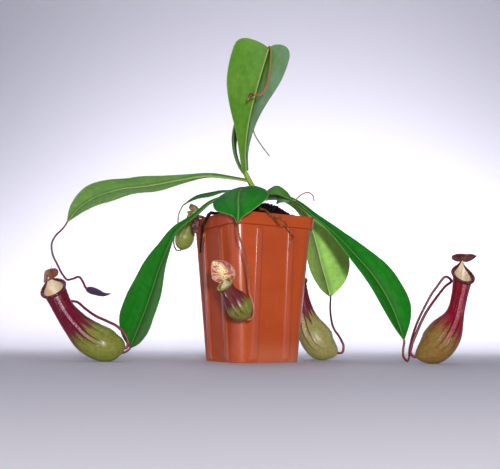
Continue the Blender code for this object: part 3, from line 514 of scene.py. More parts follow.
def blade(midrib, facing, widths, fold, bend, keel, wave, waves, seed, lobe=(0, 0), rows=110):
    """A leaf as rows along its midrib and stations once round its section, over the top and back beneath.

    A station's distance from the midrib is measured along a half that starts at the fold angle and bends
    back evenly: it lies at distance times cosine sideways and distance times sine upwards, with the
    crease rounded by a hyperbola. The margin waves by a sine along the leaf times the square of the
    station's share of the half width, and is carried forward near the tip by its side's lobe. The
    thickness falls to under half at the margin. The midrib is a squared cosine ridge beneath and a
    shallow bell-shaped groove on top, and at the tip the section eases into the round of the tendril."""
    step = np.linspace(0.0, 1.0, rows)
    at = 0.3 * step + 0.7 * np.sin(step * math.pi / 2)
    centre, ahead, side, up = laid(midrib, at, evenly(facing, at))
    knots, half = zip(*widths)
    half = through(knots, half, at)[:, 0]
    at = at[:, None]
    half = half[:, None]
    tip = ease(TIP_START, 1.0, at)
    rib = np.minimum(MIDRIB_WIDTH, 0.4 * half)
    outer = 1 - (1 - np.linspace(0.0, 1.0, 25)[1:]) ** 1.4
    reach = np.hstack([rib * np.linspace(0.0, 1.0, 6), rib + (half - rib) * outer])
    across = np.hstack([-reach[:, :0:-1], reach])
    share = across / half
    angle = np.radians(fold - bend * np.abs(share))
    soft = np.sqrt(across ** 2 + rib ** 2 * CREASE ** 2) - rib * CREASE
    sway = lumps(np.stack(np.broadcast_arrays(at * 5, np.sign(share) * 3.3, 0 * share), axis=-1), 1.0, seed)
    curl = np.sin(TURN * waves * at + 2.1 * np.sign(share) + 1.5 * sway + seed)
    ripple = wave * share ** 2 * curl * np.sin(math.pi * np.clip(at, 0, 1)) ** 0.7
    broad = half / half.max()
    raised = soft * np.sin(angle) + ripple * broad
    forward = np.where(across < 0, lobe[0], lobe[1]) * share ** 2 * broad ** 0.6 * at ** 6
    middle = (centre + side * (across * np.cos(angle))[..., None] + up * raised[..., None]
              + ahead * forward[..., None])
    thick = BLADE_THICK * (1 - 0.55 * np.abs(share) ** 6)
    bulge = np.sqrt(np.maximum(1 - (across / TIP_RADIUS) ** 2, 0.0))
    thick = thick + tip * (2 * TIP_RADIUS - BLADE_THICK) * bulge
    ridge = np.cos(np.minimum(np.abs(across) / (1.05 * rib), 1) * math.pi / 2) ** 2
    lower = keel * (1.15 - at) * ridge * (1 - tip)
    groove = GROOVE_DEPTH * np.exp(-(across / (0.45 * rib)) ** 2) * (1 - tip)
    top = middle + up * (thick / 2 - groove)[..., None]
    beneath = middle - up * (thick / 2 + lower)[..., None]
    marks = {"from_rib": np.abs(across), "from_edge": half - np.abs(across)}
    return two_sided(top, beneath, share, at, marks)


def rod(route, radii, columns=16, spacing=0.9, rough=0.0, seed=1):
    """A round limb along a smooth route with rounded ends. Its radius is read smoothly between the radii
    given at the route's points, or evenly from the first to the last, times the square root that rounds
    an end over one radius, and is roughened by noise."""
    radii = np.asarray(radii, float)
    if len(radii) != len(route):
        radii = np.interp(shares(route), np.linspace(0, 1, len(radii)), radii)
    length = np.linalg.norm(np.diff(along(route, np.linspace(0, 1, 300))[0], axis=0), axis=1).sum()
    turn = np.linspace(0.0, math.pi / 2, 6)
    body = np.linspace(0.0, 1.0, max(8, int(length / spacing)))
    start = radii[0] * (1 - np.cos(turn)) / length
    end = 1 - radii[-1] * (1 - np.cos(turn[::-1])) / length
    body = body[(body > start[-1] * 1.05) & (body < 1 - (1 - end[0]) * 1.05)]
    at = np.concatenate([start, body, end])
    centre, ahead = along(route, at)
    front, beside = carried(ahead, (0.2, -1, 0.31))
    radius = through(shares(route), radii, at)[:, 0]
    near = np.clip(at * length / radii[0], 0, 1)
    far = np.clip((1 - at) * length / radii[-1], 0, 1)
    radius = radius * np.sqrt(1 - (1 - near) ** 2) * np.sqrt(1 - (1 - far) ** 2)
    angle = np.linspace(0.0, TURN, columns + 1)
    angle[-1] = 0.0
    out = front[:, None] * np.cos(angle)[:, None] + beside[:, None] * np.sin(angle)[:, None]
    points = centre[:, None] + out * radius[:, None, None]
    if rough:
        swell = 1 + rough * lumps(points, 3.0, seed) + 0.5 * rough * lumps(points, 1.1, seed + 1)
        points = centre[:, None] + out * (radius[:, None] * swell)[..., None]
    return {"points": points, "uv": round_uv(columns + 1, at)}


def cup(route, radii, front, rise, neck, lip, wings, rows=120, columns=140):
    """A pitcher's cup as three surfaces in one run of rows: outside from the foot up, lip, and inside down.

    The outside is the route's circle, whose squared radius is read smoothly between the given ones, so that
    the foot is round. Towards the mouth each point is lifted along the route by the rise times half of one
    minus the cosine of its turn from the front, plus the neck times a round-topped peak that dies away from
    the back on both sides. Two wings run down the front: bell-shaped ridges at a fixed distance each side
    of the front line, of a height that fades towards the foot. The lip is a roll of its own radius just
    outside the rim, thinner up the neck, and the inside is the outside less the wall. Columns stand closest
    at the front and the back. The mark "from_front" is the way round from the front line."""
    apart, width, wing_height = wings
    seam = np.linspace(-math.pi, math.pi, columns + 1)
    turn = seam - 0.15 * np.sin(seam) - 0.18 * np.sin(2 * seam)
    turn[-1] = turn[0]
    back = math.pi - np.abs(turn)
    lift = rise * (1 - np.cos(turn)) / 2 + neck * np.exp((0.05 - np.hypot(back, 0.05)) / NECK_SPREAD)
    squares = np.asarray(radii, float) ** 2

    def ring(at, inset, height):
        centre, ahead = along(route, at)
        ahead_front, beside = frames(ahead, front)
        radius = np.sqrt(np.maximum(through(shares(route), squares, at)[:, 0], 0.0))
        broad = np.maximum(radius, WING_FROM)
        offset = np.arctan2(apart, broad)[:, None]
        crest = np.exp(-((np.abs(turn) - offset) * broad[:, None] / width) ** 2)
        fade = ease(0.16, 0.5, at) * (1 - 0.55 * ease(0.9, 1.0, at))
        radius = np.maximum(radius - inset, 0.0)[:, None] + height * crest * fade[:, None]
        raised = lift * np.clip((at - 0.45) / 0.55, 0, 1)[:, None] ** 1.6
        out = ahead_front[:, None] * np.cos(turn)[:, None] + beside[:, None] * np.sin(turn)[:, None]
        return centre[:, None] + out * radius[..., None] + ahead[:, None] * raised[..., None], out, ahead

    levels = 0.5 - 0.5 * np.cos(np.linspace(0.0, 1.0, rows) * math.pi)
    outside, out, ahead = ring(levels, 0.0, wing_height)
    plain, _, _ = ring(levels[-2:], 0.0, 0.0)
    rim, out, ahead = plain[-1], out[-1], ahead[-1]
    roll = np.radians(np.linspace(*LIP_ROLL, 18))[:, None, None]
    flare = 1.25 - 0.6 * np.exp(-(back / 0.4) ** 2)[:, None]
    rolled = rim + lip * flare * (out * (0.5 + np.cos(roll)) + ahead * (1 + np.sin(roll)))
    inner = levels[:3:-2]
    inside, _, _ = ring(inner, PITCHER_WALL, 0.0)
    outside[..., 2] = np.maximum(outside[..., 2], 0.0)
    inside[..., 2] = np.maximum(inside[..., 2], PITCHER_WALL)
    foot = np.broadcast_to(inside[-1, :-1].mean(axis=0), outside[:1].shape)
    points = np.concatenate([outside, rolled, inside, foot])
    run = np.concatenate([levels, np.linspace(0, 1, len(roll)), inner, [0.0]])
    from_front = np.abs(turn) * np.interp(run, shares(route), radii)[:, None]
    return {"points": points, "uv": round_uv(columns + 1, run), "marks": {"from_front": from_front},
            "finish": np.repeat([0, 1, 2], [rows, len(roll), len(inner)])}


def lid_plate(route, half_width, face, fold, rows=44, stations=15):
    """A pitcher's lid: an oval plate, its halves folded up and bent back, narrow at the neck and rounded
    at its end, with a low keel along its underside and a rim that is slightly thinner. Its half width is the
    sine of its share of the length to the power 0.62."""
    step = np.linspace(0.0, 1.0, rows)
    at = np.sin(step * math.pi / 2)[:, None]
    centre, _, side, up = laid(route, at[:, 0], np.array([face], float))
    half = half_width * np.sin(math.pi * (0.06 + 0.94 * at)).clip(0) ** 0.62
    half = np.maximum(half, 0.05)
    reach = half * (1 - (1 - np.linspace(0.0, 1.0, stations)) ** 1.5)
    across = np.hstack([-reach[:, :0:-1], reach])
    share = across / half
    angle = np.radians(fold - 26 * np.abs(share))
    raised = np.abs(across) * np.sin(angle) + 0.35 * share ** 2 * np.sin(9 * at + 2 * np.sign(share))
    middle = centre + side * (across * np.cos(angle))[..., None] + up * raised[..., None]
    thick = BLADE_THICK * (1 - 0.45 * np.abs(share) ** 8)
    keel = (0.9 - 0.7 * at) * np.exp(-(across / 0.9) ** 2)
    top = middle + up * (thick / 2)[..., None]
    beneath = middle - up * (thick / 2 + keel)[..., None]
    return two_sided(top, beneath, share, at, {"from_edge": half - np.abs(across)})


def rounded_profile(corners, count=5):
    """A profile of straight runs with each inner corner cut back to a round: the quadratic curve that
    starts and ends the given distance from the corner and has it as its middle point. A corner is side,
    height, corner radius, rib height and that distance."""
    corners = np.asarray(corners, float)
    rows = [corners[:1, :4]]
    part = np.linspace(0.0, 1.0, count)[:, None]
    for before, here, after in zip(corners[:-2], corners[1:-1], corners[2:]):
        back = before[:4] - here[:4]
        on = after[:4] - here[:4]
        start = here[:4] + back * min(0.45, here[4] / np.linalg.norm(back[:2] * (0.5, 1)))
        end = here[:4] + on * min(0.45, here[4] / np.linalg.norm(on[:2] * (0.5, 1)))
        rows.append(start * (1 - part) ** 2 + here[:4] * 2 * part * (1 - part) + end * part ** 2)
    rows.append(corners[-1:, :4])
    return np.concatenate(rows)


def spin(degrees):
    """Matrix that turns places in rows about the upright axis."""
    angle = math.radians(degrees)
    return np.array([[math.cos(angle), math.sin(angle)], [-math.sin(angle), math.cos(angle)]])


def square_ring(side, corner, sides, bends):
    """Points once round a rounded square, turned as the pot is. Sides holds, for one side, the places
    along it and how far each stands out; bends is the number of points round a corner."""
    bend = np.radians(np.linspace(0, 90, bends))
    round_corner = side / 2 - corner + corner * np.column_stack([np.cos(bend), np.sin(bend)])
    straight = np.column_stack([side / 2 + sides[:, 1], sides[:, 0]])
    quarter = np.concatenate([straight, round_corner])
    return np.concatenate([quarter @ spin(POT_TURN + 90 * index) for index in range(4)])


def ribbed(height):
    """Places along a side of the pot with its two ribs, whose edges are smooth steps and whose tops are
    crowned by a parabola. Columns: place, how far it stands out, and the share of the rib's step there."""
    inner, outer = RIB_PLACE - RIB_WIDTH / 2, RIB_PLACE + RIB_WIDTH / 2
    runs = ((3, inner - 1.5, 4), (inner - 0.9, inner + 0.5, 6), (inner + 1.5, outer - 1.5, 4),
            (outer - 0.5, outer + 0.9, 6))
    half = np.concatenate([np.linspace(*run) for run in runs])
    places = np.concatenate([-half[::-1], [0.0], half])
    away = np.abs(places)
    stand = ease(inner - 0.9, inner + 0.4, away) * (1 - ease(outer - 0.4, outer + 0.9, away))
    crown = RIB_CROWN * (1 - ((away - RIB_PLACE) / (RIB_WIDTH / 2)) ** 2).clip(0) * (height > 0)
    return np.column_stack([places, stand * (height + crown), stand])


def body_side(height):
    """Outer side of the pot's tapering body at a height."""
    return BASE_SIDE + (BODY_TOP_SIDE - BASE_SIDE) * height / (POT_HEIGHT - BAND_HEIGHT)


class Wire:
    """The output of a shader node. Sums, differences, products and quotients with wires or numbers are
    wires."""

    def __init__(self, tree, socket):
        self.tree = tree
        self.socket = socket

    def __add__(self, other):
        return maths("ADD", self, other)

    def __sub__(self, other):
        return maths("SUBTRACT", self, other)

    def __rsub__(self, other):
        return maths("SUBTRACT", other, self)

    def __mul__(self, other):
        return maths("MULTIPLY", self, other)

    def __truediv__(self, other):
        return maths("DIVIDE", self, other)


def feed(value, socket):
    """Lets a wire feed an input, or sets the input to a plain value. A colour of three numbers is made
    opaque."""
    if isinstance(value, Wire):
        value.tree.links.new(value.socket, socket)
    elif socket.type == "RGBA":
        socket.default_value = (*value, 1.0)
    else:
        socket.default_value = value


def put(tree, kind, inputs=None, output=0, **settings):
    """One output of a new node with its settings and inputs."""
    made = tree.nodes.new("ShaderNode" + kind)
    for name, value in settings.items():
        setattr(made, name, value)
    for name, value in (inputs or {}).items():
        feed(value, made.inputs[name])
    return Wire(tree, made.outputs[output])


def maths(operation, first, second=0.0):
    """One arithmetic node."""
    tree = first.tree if isinstance(first, Wire) else second.tree
    return put(tree, "Math", {0: first, 1: second}, operation=operation)


def mix(share, first, second):
    """A mix of two colours: the first at share 0, the second at share 1."""
    return put(share.tree, "Mix", {0: share, 6: first, 7: second}, 2, data_type="RGBA")


def ramp(value, low, high, start=0.0, end=1.0):
    """A smooth range: start below low, end above high."""
    limits = {"Value": value, "From Min": low, "From Max": high, "To Min": start, "To Max": end}
    return put(value.tree, "MapRange", limits, "Result", interpolation_type="SMOOTHSTEP")


def noise(vector, scale, detail=3.0, rough=0.55):
    """Uneven values around one half."""
    inputs = {"Vector": vector, "Scale": scale, "Detail": detail, "Roughness": rough}
    return put(vector.tree, "TexNoise", inputs)


def scaled(colour, factor):
    """A colour times a number."""
    return put(colour.tree, "VectorMath", {0: colour, "Scale": factor}, operation="SCALE")


def joined(x, y, z):
    """A vector from three numbers."""
    return put(x.tree, "CombineXYZ", {"X": x, "Y": y, "Z": z})


def split(vector):
    """The three numbers of a vector."""
    parts = put(vector.tree, "SeparateXYZ", {"Vector": vector}).socket.node.outputs
    return [Wire(vector.tree, part) for part in parts]


def object_place(tree):
    """Object coordinates."""
    return put(tree, "TexCoord", output="Object")


def mesh_place(tree):
    """The share of the way across or round a piece, and along it, from its UV map."""
    return split(put(tree, "UVMap"))[:2]


def mark(tree, name):
    """A number that the mesh carries at its points."""
    return put(tree, "Attribute", output="Fac", attribute_name=name)


def effect(name, takes, gives):
    """Makes a function a shared effect: a shader group with named sockets, built once. The function gets
    the group's tree and its inputs and returns its outputs. From then on its name places the group in a
    tree, with values for the inputs in their order, and returns the list of its outputs. Takes and gives
    hold, for each kind of socket, the sockets' names."""
    def build(work):
        tree = bpy.data.node_groups.new(name, "ShaderNodeTree")
        for way, sockets in (("INPUT", takes), ("OUTPUT", gives)):
            for kind, labels in sockets.items():
                for label in labels.split(", "):
                    tree.interface.new_socket(name=label, in_out=way, socket_type="NodeSocket" + kind)
        entry = tree.nodes.new("NodeGroupInput")
        last = tree.nodes.new("NodeGroupOutput")
        given = [Wire(tree, socket) for socket in entry.outputs if socket.name]
        for value, socket in zip(work(tree, *given), last.inputs):
            feed(value, socket)

        def place(into, *values):
            made = into.nodes.new("ShaderNodeGroup")
            made.node_tree = tree
            for value, socket in zip(values, made.inputs):
                feed(value, socket)
            return [Wire(into, socket) for socket in made.outputs]

        return place

    return build


@effect("surface grain", {"Float": "Scale, Roughness, Spread"}, {"Float": "Roughness, Height"})
def surface_grain(tree, scale, roughness, spread):
    """Uneven gloss and a fine relief: noise of one scale, and for the relief also noise five times as
    fine."""
    place = object_place(tree)
    coarse = noise(place, scale)
    fine = noise(place, scale * 5.0, 2.0)
    return roughness + (coarse - 0.5) * spread, coarse * 0.6 + fine * 0.4


@effect("round the cup", {}, {"Vector": "Vector", "Float": "Along"})
def round_cup(tree):
    """A place on a cylinder, so that a pattern meets itself at the seam, and the share of the way along."""
    across, run = mesh_place(tree)
    turn = across * TURN
    return joined(maths("COSINE", turn), maths("SINE", turn), run), run


@effect("streaks", {"Vector": "Vector", "Float": "Around, Along, Low, High"}, {"Float": "Mask"})
def streaks(tree, vector, around, run, low, high):
    """Streaks: noise that changes at one rate round a piece and at another along it."""
    stretched = put(tree, "VectorMath", {0: vector, 1: joined(around, around, run)}, operation="MULTIPLY")
    return [ramp(noise(stretched, 1.0, 4.0, 0.6), low, high)]


@effect("speckles", {"Float": "Scale, Size"}, {"Float": "Mask"})
def speckles(tree, scale, size):
    """Round spots, one in each cell, of full size in patches and small between them."""
    place = object_place(tree)
    distance = put(tree, "TexVoronoi", {"Vector": place, "Scale": scale})
    reach = size * ramp(noise(place, scale * 0.22, 2.0), 0.4, 0.65, 0.3, 1.0)
    return [ramp(reach - distance, 0.0, 0.12)]


@effect("leaf skin", {"Color": "Upper, Under, Rib, Edge, Flush",
                      "Float": "Flush Amount, Gloss, Low Band, High Band, Bloom"},
        {"Color": "Colour", "Float": "Roughness, Height"})
def leaf_skin(tree, upper, lower, rib_colour, edge_colour, flush, amount, gloss, low_painted_shade, high_painted_shade, bloom):
    """A leaf's skin: two sides with a flush in broad patches, lengthwise lines and veins, a band of painted
    shade on each side of the midrib, a pale painted sheen on one half, and the midrib and the margin in their
    own colours."""
    side, run = mesh_place(tree)
    across = maths("ABSOLUTE", side - 0.5)
    place = object_place(tree)
    under, rib, edge = [mark(tree, name) for name in ("under", "from_rib", "from_edge")]
    broad = ramp(noise(place, 22.0), 0.42, 0.68)
    colour = mix(broad * amount, mix(under, upper, lower), flush)
    colour = scaled(colour, ramp(noise(place, 150.0), 0.3, 0.75, 0.86, 1.12))
    lines = noise(joined(across * 26.0, run * 2.2, 0.0), 1.0, 2.0)
    colour = mix(ramp(lines, 0.5, 0.72) * 0.08, colour, rib_colour)
    vein = ramp(maths("COSINE", across * (TURN * 9.0)), 0.86, 1.0) * ramp(rib, 1.5, 4.0)
    colour = mix(vein * 0.06, colour, rib_colour)
    # Painted shade: a band on each side of the midrib is darkened, with its own strength on either half
    band = ramp(rib, 0.8, 1.6) * ramp(rib, 2.0, 7.0, 1.0, 0.0) * ramp(side, 0.49, 0.51, low_painted_shade, high_painted_shade)
    colour = mix(band, colour, scaled(colour, 0.35))
    # Painted sheen: one half is paled in patches towards a grey blue
    pale = ramp(side, 0.2, 0.45, bloom, 0.0) * ramp(noise(place, 40.0), 0.3, 0.7, 0.5, 1.0)
    colour = mix(pale, colour, (0.45, 0.6, 0.6))
    colour = mix(ramp(rib, 0.55, 1.15, 0.85, 0.0), colour, rib_colour)
    colour = mix(ramp(edge, 0.15, 0.8, 0.7, 0.0), colour, edge_colour)
    relief = noise(place, 420.0) * 0.35 + noise(place, 60.0, 2.0) * 1.2 + vein * 0.35
    return colour, gloss + under * 0.16 + broad * 0.07, relief


@effect("pitcher skin", {"Color": "Foot, Tube, Streak, Stripe, Wing",
                         "Float": "Change Low, Change High, Streaking, Wing Place, Stripe Amount"},
        {"Color": "Colour", "Float": "Roughness, Height"})
def pitcher_skin(tree, foot, tube, streak, stripe, wing, low, high, streaking, wing_place, stripe_glint_amount):
    """A cup's skin: one colour at the foot and one up the tube, with an uneven change between them, dark
    streaks and speckles, a hatched pale stripe between the wings that is partly the cup's own colour and
    partly a painted glint along its front, and the wings in their own colour."""
    around, run = round_cup(tree)
    place = object_place(tree)
    broad = noise(around, 2.2)
    long, = streaks(tree, around, 7.0, 2.4, 0.3, 0.7)
    red = ramp(run + (broad - 0.5) * 0.3 + (long - 0.5) * 0.14, low, high)
    dark, = streaks(tree, around, 11.0, 3.2, 0.5, 0.66)
    colour = mix(dark * ((red * (1.0 - red) * 3.0 + 0.35) * streaking), mix(red, foot, tube), streak)
    from_wing = mark(tree, "from_front") - wing_place
    # Stripe between the wings: partly the cup's own pale front, partly a painted glint along it
    between = ramp(from_wing, -1.6, -0.4, 1.0, 0.0) * stripe_glint_amount * ramp(run, 0.25, 0.5)
    colour = mix(between * ramp(noise(place, 900.0, 2.0), 0.38, 0.62, 0.1, 1.0), colour, stripe)
    on_wing = ramp(maths("ABSOLUTE", from_wing), 0.3, 1.3, 1.0, 0.0) * ramp(run, 0.1, 0.4)
    colour = mix(on_wing * 0.8, colour, wing)
    spots, = speckles(tree, 520.0, 0.5)
    colour = mix(spots * ramp(run, 0.1, 0.45, 0.15, 0.45), colour, streak)
    colour = scaled(colour, ramp(noise(place, 260.0), 0.3, 0.75, 0.84, 1.14))
    return colour, ramp(broad, 0.3, 0.7, 0.22, 0.36), noise(place, 500.0) + long * 0.5


def finish(bump, distance, **sockets):
    """Makes a function a maker of materials. The function gets the material's tree and its own values and
    returns colour, roughness and height. Sockets are the shader's own, each with one value for the whole
    material."""
    def build(work):
        def make(name, *values):
            made = bpy.data.materials.new(name)
            made.use_nodes = True
            tree = made.node_tree
            shader = tree.nodes["Principled BSDF"]
            for label, value in sockets.items():
                shader.inputs[label.replace("_", " ")].default_value = value
            colour, roughness, height = work(tree, *values)
            relief = put(tree, "Bump", {"Strength": bump, "Distance": distance, "Height": height})
            for label, value in (("Base Color", colour), ("Roughness", roughness), ("Normal", relief)):
                feed(value, shader.inputs[label])
            return made

        return make

    return build


@finish(0.25, 0.0006, Specular_IOR_Level=0.2)
def leaf_finish(tree, *values):
    """A leaf, from the leaf skin's own values."""
    return leaf_skin(tree, *values)


@finish(0.22, 0.0004, Specular_IOR_Level=0.22, Coat_Weight=0.05, Coat_Roughness=0.15)
def cup_finish(tree, *values):
    """The outside of a cup, from the pitcher skin's own values."""
    return pitcher_skin(tree, *values)


@finish(0.5, 0.0004, Specular_IOR_Level=0.3, Coat_Weight=0.25, Coat_Roughness=0.12)
def lip_finish(tree, dark, light):
    """A ribbed lip: fine ribs across the roll, with painted shade that darkens the grooves and both edges of
    the roll, so that its crest is lighter.
    """
    across, run = mesh_place(tree)
    ribs = maths("SINE", across * (TURN * LIP_RIBS))
    wavy = noise(object_place(tree), 260.0, 2.0)
    band = ramp(run, 0.2, 0.5) * ramp(run, 0.55, 0.9, 1.0, 0.0)
    # Painted shade: the grooves between the ribs and both edges of the roll are darker
    share = band * ramp(wavy, 0.35, 0.65, 0.4, 1.0) + ribs * 0.12
    return mix(share, dark, light), ramp(wavy, 0.3, 0.7, 0.2, 0.34), ribs * 0.5


@finish(0.15, 0.0003, Subsurface_Weight=0.15)
def lining_finish(tree, pale, mottle):
    """The waxy inside of a cup: pale with soft mottling, and painted shade that darkens it towards the foot.
    """
    _, run = round_cup(tree)
    spots, = speckles(tree, 330.0, 0.42)
    soft = ramp(noise(object_place(tree), 90.0), 0.4, 0.68)
    colour = mix(maths("MAXIMUM", spots * 0.55, soft * 0.45), pale, mottle)
    # Painted shade: darker deeper into the cup
    return scaled(colour, ramp(run, 0.3, 0.8, 0.55, 1.0)), *surface_grain(tree, 350.0, 0.42, 0.15)


@finish(0.25, 0.0004, Specular_IOR_Level=0.2, Coat_Weight=0.1, Coat_Roughness=0.2)
def lid_finish(tree, upper, under, stripe, edge, streak, streaking):
    """A lid: two sides, a paler stripe along its middle, streaks that run out to the rim, and speckles."""
    side, run = mesh_place(tree)
    across = maths("ABSOLUTE", side - 0.5)
    colour = mix(mark(tree, "under"), upper, under)
    colour = mix(ramp(across, 0.08, 0.2, 1.0, 0.0) * 0.9, colour, stripe)
    radial = joined(run / (across + 0.2), 0.0, across * 0.5)
    lines, = streaks(tree, radial, 9.0, 3.0, 0.45, 0.6)
    spots, = speckles(tree, 480.0, 0.7)
    mask = maths("MAXIMUM", lines * ramp(across, 0.08, 0.3), spots * 0.85)
    colour = mix(mask * streaking, colour, streak)
    colour = mix(ramp(mark(tree, "from_edge"), 0.3, 1.2, 0.8, 0.0), colour, edge)
    return colour, *surface_grain(tree, 300.0, 0.32, 0.15)


@finish(0.3, 0.0003, Specular_IOR_Level=0.35)
def limb_finish(tree, near, far, shade, roughness=0.4, change=(0.2, 0.8)):
    """A tendril or stalk: one colour near its leaf, another at its far end, with streaks of a third."""
    around, run = round_cup(tree)
    lines, = streaks(tree, around, 1.8, 22.0, 0.45, 0.65)
    colour = mix(lines * 0.6, mix(ramp(run, *change), near, far), shade)
    return colour, *surface_grain(tree, 500.0, roughness, 0.2)


def woody(tree, dark, light, scale, roughness=0.85):
    """Dead or woody matter: two tones in uneven patches, with a rough relief."""
    patches = noise(object_place(tree), scale, 5.0, 0.65)
    dull, height = surface_grain(tree, scale * 3, roughness, 0.25)
    return mix(ramp(patches, 0.42, 0.66), dark, light), dull, height + patches


bark_finish = finish(0.8, 0.0006, Specular_IOR_Level=0.06)(woody)
earth_finish = finish(1.0, 0.0006, Specular_IOR_Level=0.06)(woody)


@finish(0.2, 0.0004, Specular_IOR_Level=0.08, Coat_Roughness=0.22, Coat_IOR=1.65)
def plastic_finish(tree, base, pale, dark):
    """Moulded plastic: a dull skin with faint flow marks, scuffs that are paler and duller, and dust low
    down. Its ribs and corners are rubbed to a shine."""
    feed(mark(tree, "rubbed") * 0.9, tree.nodes["Principled BSDF"].inputs["Coat Weight"])
    place = object_place(tree)
    cloud = noise(place, 26.0, 4.0)
    stretched = put(tree, "Mapping", {"Vector": place, "Scale": (260.0, 260.0, 22.0)})
    scuffs = ramp(noise(stretched, 1.0), 0.62, 0.8)
    dust = ramp(split(place)[2], 0.0, 0.03, 0.5, 0.0) * ramp(cloud, 0.35, 0.6)
    worn = maths("MAXIMUM", scuffs * 0.22, dust)
    colour = mix(worn, mix(ramp(cloud, 0.35, 0.7, 0.0, 0.35), base, dark), pale)
    dull, height = surface_grain(tree, 650.0, 0.45, 0.12)
    return colour, dull + worn * 0.3, height


# Looks by maker. Leaves: upper side, under side, midrib, margin, flush, amount of flush, roughness, strength
# of the painted shade beside the midrib on either side, strength of the painted sheen on one half
LEAF_LOOKS = {
    "leaf green": ((0.006, 0.17, 0.006), (0.09, 0.22, 0.03), (0.09, 0.28, 0.03), (0.28, 0.42, 0.13),
                   (0.02, 0.15, 0.006), 0.35, 0.42, 0.5, 0.5, 0.0),
    "leaf fresh green": ((0.04, 0.2, 0.008), (0.075, 0.22, 0.014), (0.3, 0.4, 0.09), (0.2, 0.32, 0.08),
                         (0.12, 0.27, 0.025), 0.3, 0.36, 1.0, 0.2, 0.3),
    # Painted light: the olive look is painted lighter to make up for shade on leaf_mid_right, and the next is
    # a copy of it painted darker for the stronger light on leaf_left
    "leaf olive green": ((0.08, 0.28, 0.07), (0.3, 0.62, 0.1), (0.34, 0.48, 0.13), (0.32, 0.48, 0.18),
                         (0.17, 0.36, 0.06), 0.35, 0.4, 0.5, 0.5, 0.0),
    "left leaf green": ((0.06, 0.24, 0.06), (0.22, 0.5, 0.1), (0.3, 0.44, 0.12), (0.3, 0.45, 0.17),
                        (0.15, 0.32, 0.06), 0.35, 0.4, 0.5, 0.5, 0.0),
}

# Limbs: near the leaf, at the far end, streaks, then roughness and the shares of the length between which
# the first colour changes into the second, where they differ from the usual
LIMB_LOOKS = {
    "stem yellow green": ((0.16, 0.22, 0.03), (0.24, 0.42, 0.04), (0.12, 0.12, 0.03), 0.45),
    "tendril amber": ((0.26, 0.2, 0.04), (0.3, 0.09, 0.03), (0.34, 0.18, 0.06)),
    "tendril maroon": ((0.13, 0.03, 0.03), (0.15, 0.015, 0.03), (0.26, 0.08, 0.1), 0.33),
    "tendril crimson": ((0.12, 0.02, 0.015), (0.14, 0.006, 0.015), (0.2, 0.03, 0.03), 0.33),
    "tendril grey green": ((0.16, 0.22, 0.06), (0.22, 0.22, 0.13), (0.12, 0.1, 0.05)),
    "tendril pale green": ((0.2, 0.24, 0.04), (0.16, 0.1, 0.025), (0.1, 0.06, 0.02)),
    "tendril dark crimson": ((0.06, 0.025, 0.035), (0.2, 0.014, 0.025), (0.03, 0.01, 0.02)),
    "tendril pink brown": ((0.2, 0.05, 0.03), (0.5, 0.21, 0.13), (0.12, 0.02, 0.015)),
    "bud maroon black": ((0.12, 0.03, 0.02), (0.4, 0.16, 0.02), (0.02, 0.006, 0.008), 0.35, (0.55, 0.95)),
    "bud purple": ((0.05, 0.02, 0.05), (0.035, 0.016, 0.05), (0.13, 0.08, 0.14), 0.35),
}

# Dead and woody matter: dark tone, light tone, scale of the patches, roughness
BARK_LOOKS = {
    "withered mauve brown": ((0.075, 0.028, 0.03), (0.3, 0.15, 0.14), 160.0),
    # Near black: partly a dead strand's colour, partly painted shade on the pot's left face
    "dead strand": ((0.008, 0.006, 0.007), (0.04, 0.026, 0.028), 200.0, 0.6),
    "root brown": ((0.15, 0.042, 0.018), (0.42, 0.16, 0.075), 220.0),
    "bark chip dark": ((0.006, 0.004, 0.005), (0.028, 0.015, 0.013), 300.0, 0.85),
    "bark chip brown": ((0.02, 0.009, 0.007), (0.07, 0.034, 0.022), 260.0, 0.8),
}
EARTH_LOOKS = {"dark soil": ((0.003, 0.002, 0.004), (0.018, 0.011, 0.012), 240.0, 0.95)}

# Pot: plastic, worn places, darker clouds
PLASTIC_LOOKS = {"terracotta plastic": ((0.42, 0.07, 0.018), (0.52, 0.17, 0.09), (0.3, 0.04, 0.012))}

# Lips: tone painted as shade in the grooves and at the roll's edges, and tone of the ribs and the roll's
# crest.
# Inside of the cups: ground and mottling
LIP_LOOKS = {
    "lip maroon": ((0.06, 0.004, 0.01), (0.24, 0.014, 0.03)),
    "lip yellow green": ((0.16, 0.14, 0.02), (0.4, 0.38, 0.09)),
}
LINING_LOOKS = {"cup lining": ((0.66, 0.52, 0.33), (0.42, 0.26, 0.17))}

# Cups: foot, tube, streaks, stripe between the wings (partly a painted glint), wings, the shares of the
# height between which the foot's colour changes into the tube's, strength of the streaks, the wings' distance
# from the front, strength of the stripe and its painted glint
CUP_LOOKS = {
    "left pitcher skin": ((0.2, 0.23, 0.04), (0.15, 0.006, 0.022), (0.08, 0.004, 0.014), (0.55, 0.3, 0.38),
                          (0.1, 0.006, 0.014), 0.38, 0.6, 0.8, 2.4, 1.0),
    "right pitcher skin": ((0.24, 0.15, 0.035), (0.22, 0.006, 0.018), (0.13, 0.005, 0.012), (0.5, 0.17, 0.22),
                           (0.12, 0.004, 0.01), 0.34, 0.58, 0.8, 3.0, 0.7),
    "back pitcher skin": ((0.32, 0.3, 0.1), (0.14, 0.01, 0.024), (0.2, 0.1, 0.04), (0.7, 0.62, 0.36),
                          (0.12, 0.03, 0.03), 0.58, 0.68, 0.25, 3.6, 0.8),
    "front pitcher skin": ((0.19, 0.2, 0.035), (0.14, 0.02, 0.022), (0.05, 0.012, 0.014), (0.2, 0.12, 0.05),
                           (0.07, 0.02, 0.015), 0.42, 0.62, 0.6, 2.8, 0.2),
    "small pitcher skin": ((0.23, 0.28, 0.06), (0.4, 0.17, 0.13), (0.18, 0.18, 0.04), (0.4, 0.4, 0.15),
                           (0.2, 0.2, 0.06), 0.75, 0.95, 0.4, 2.2, 0.3),
}

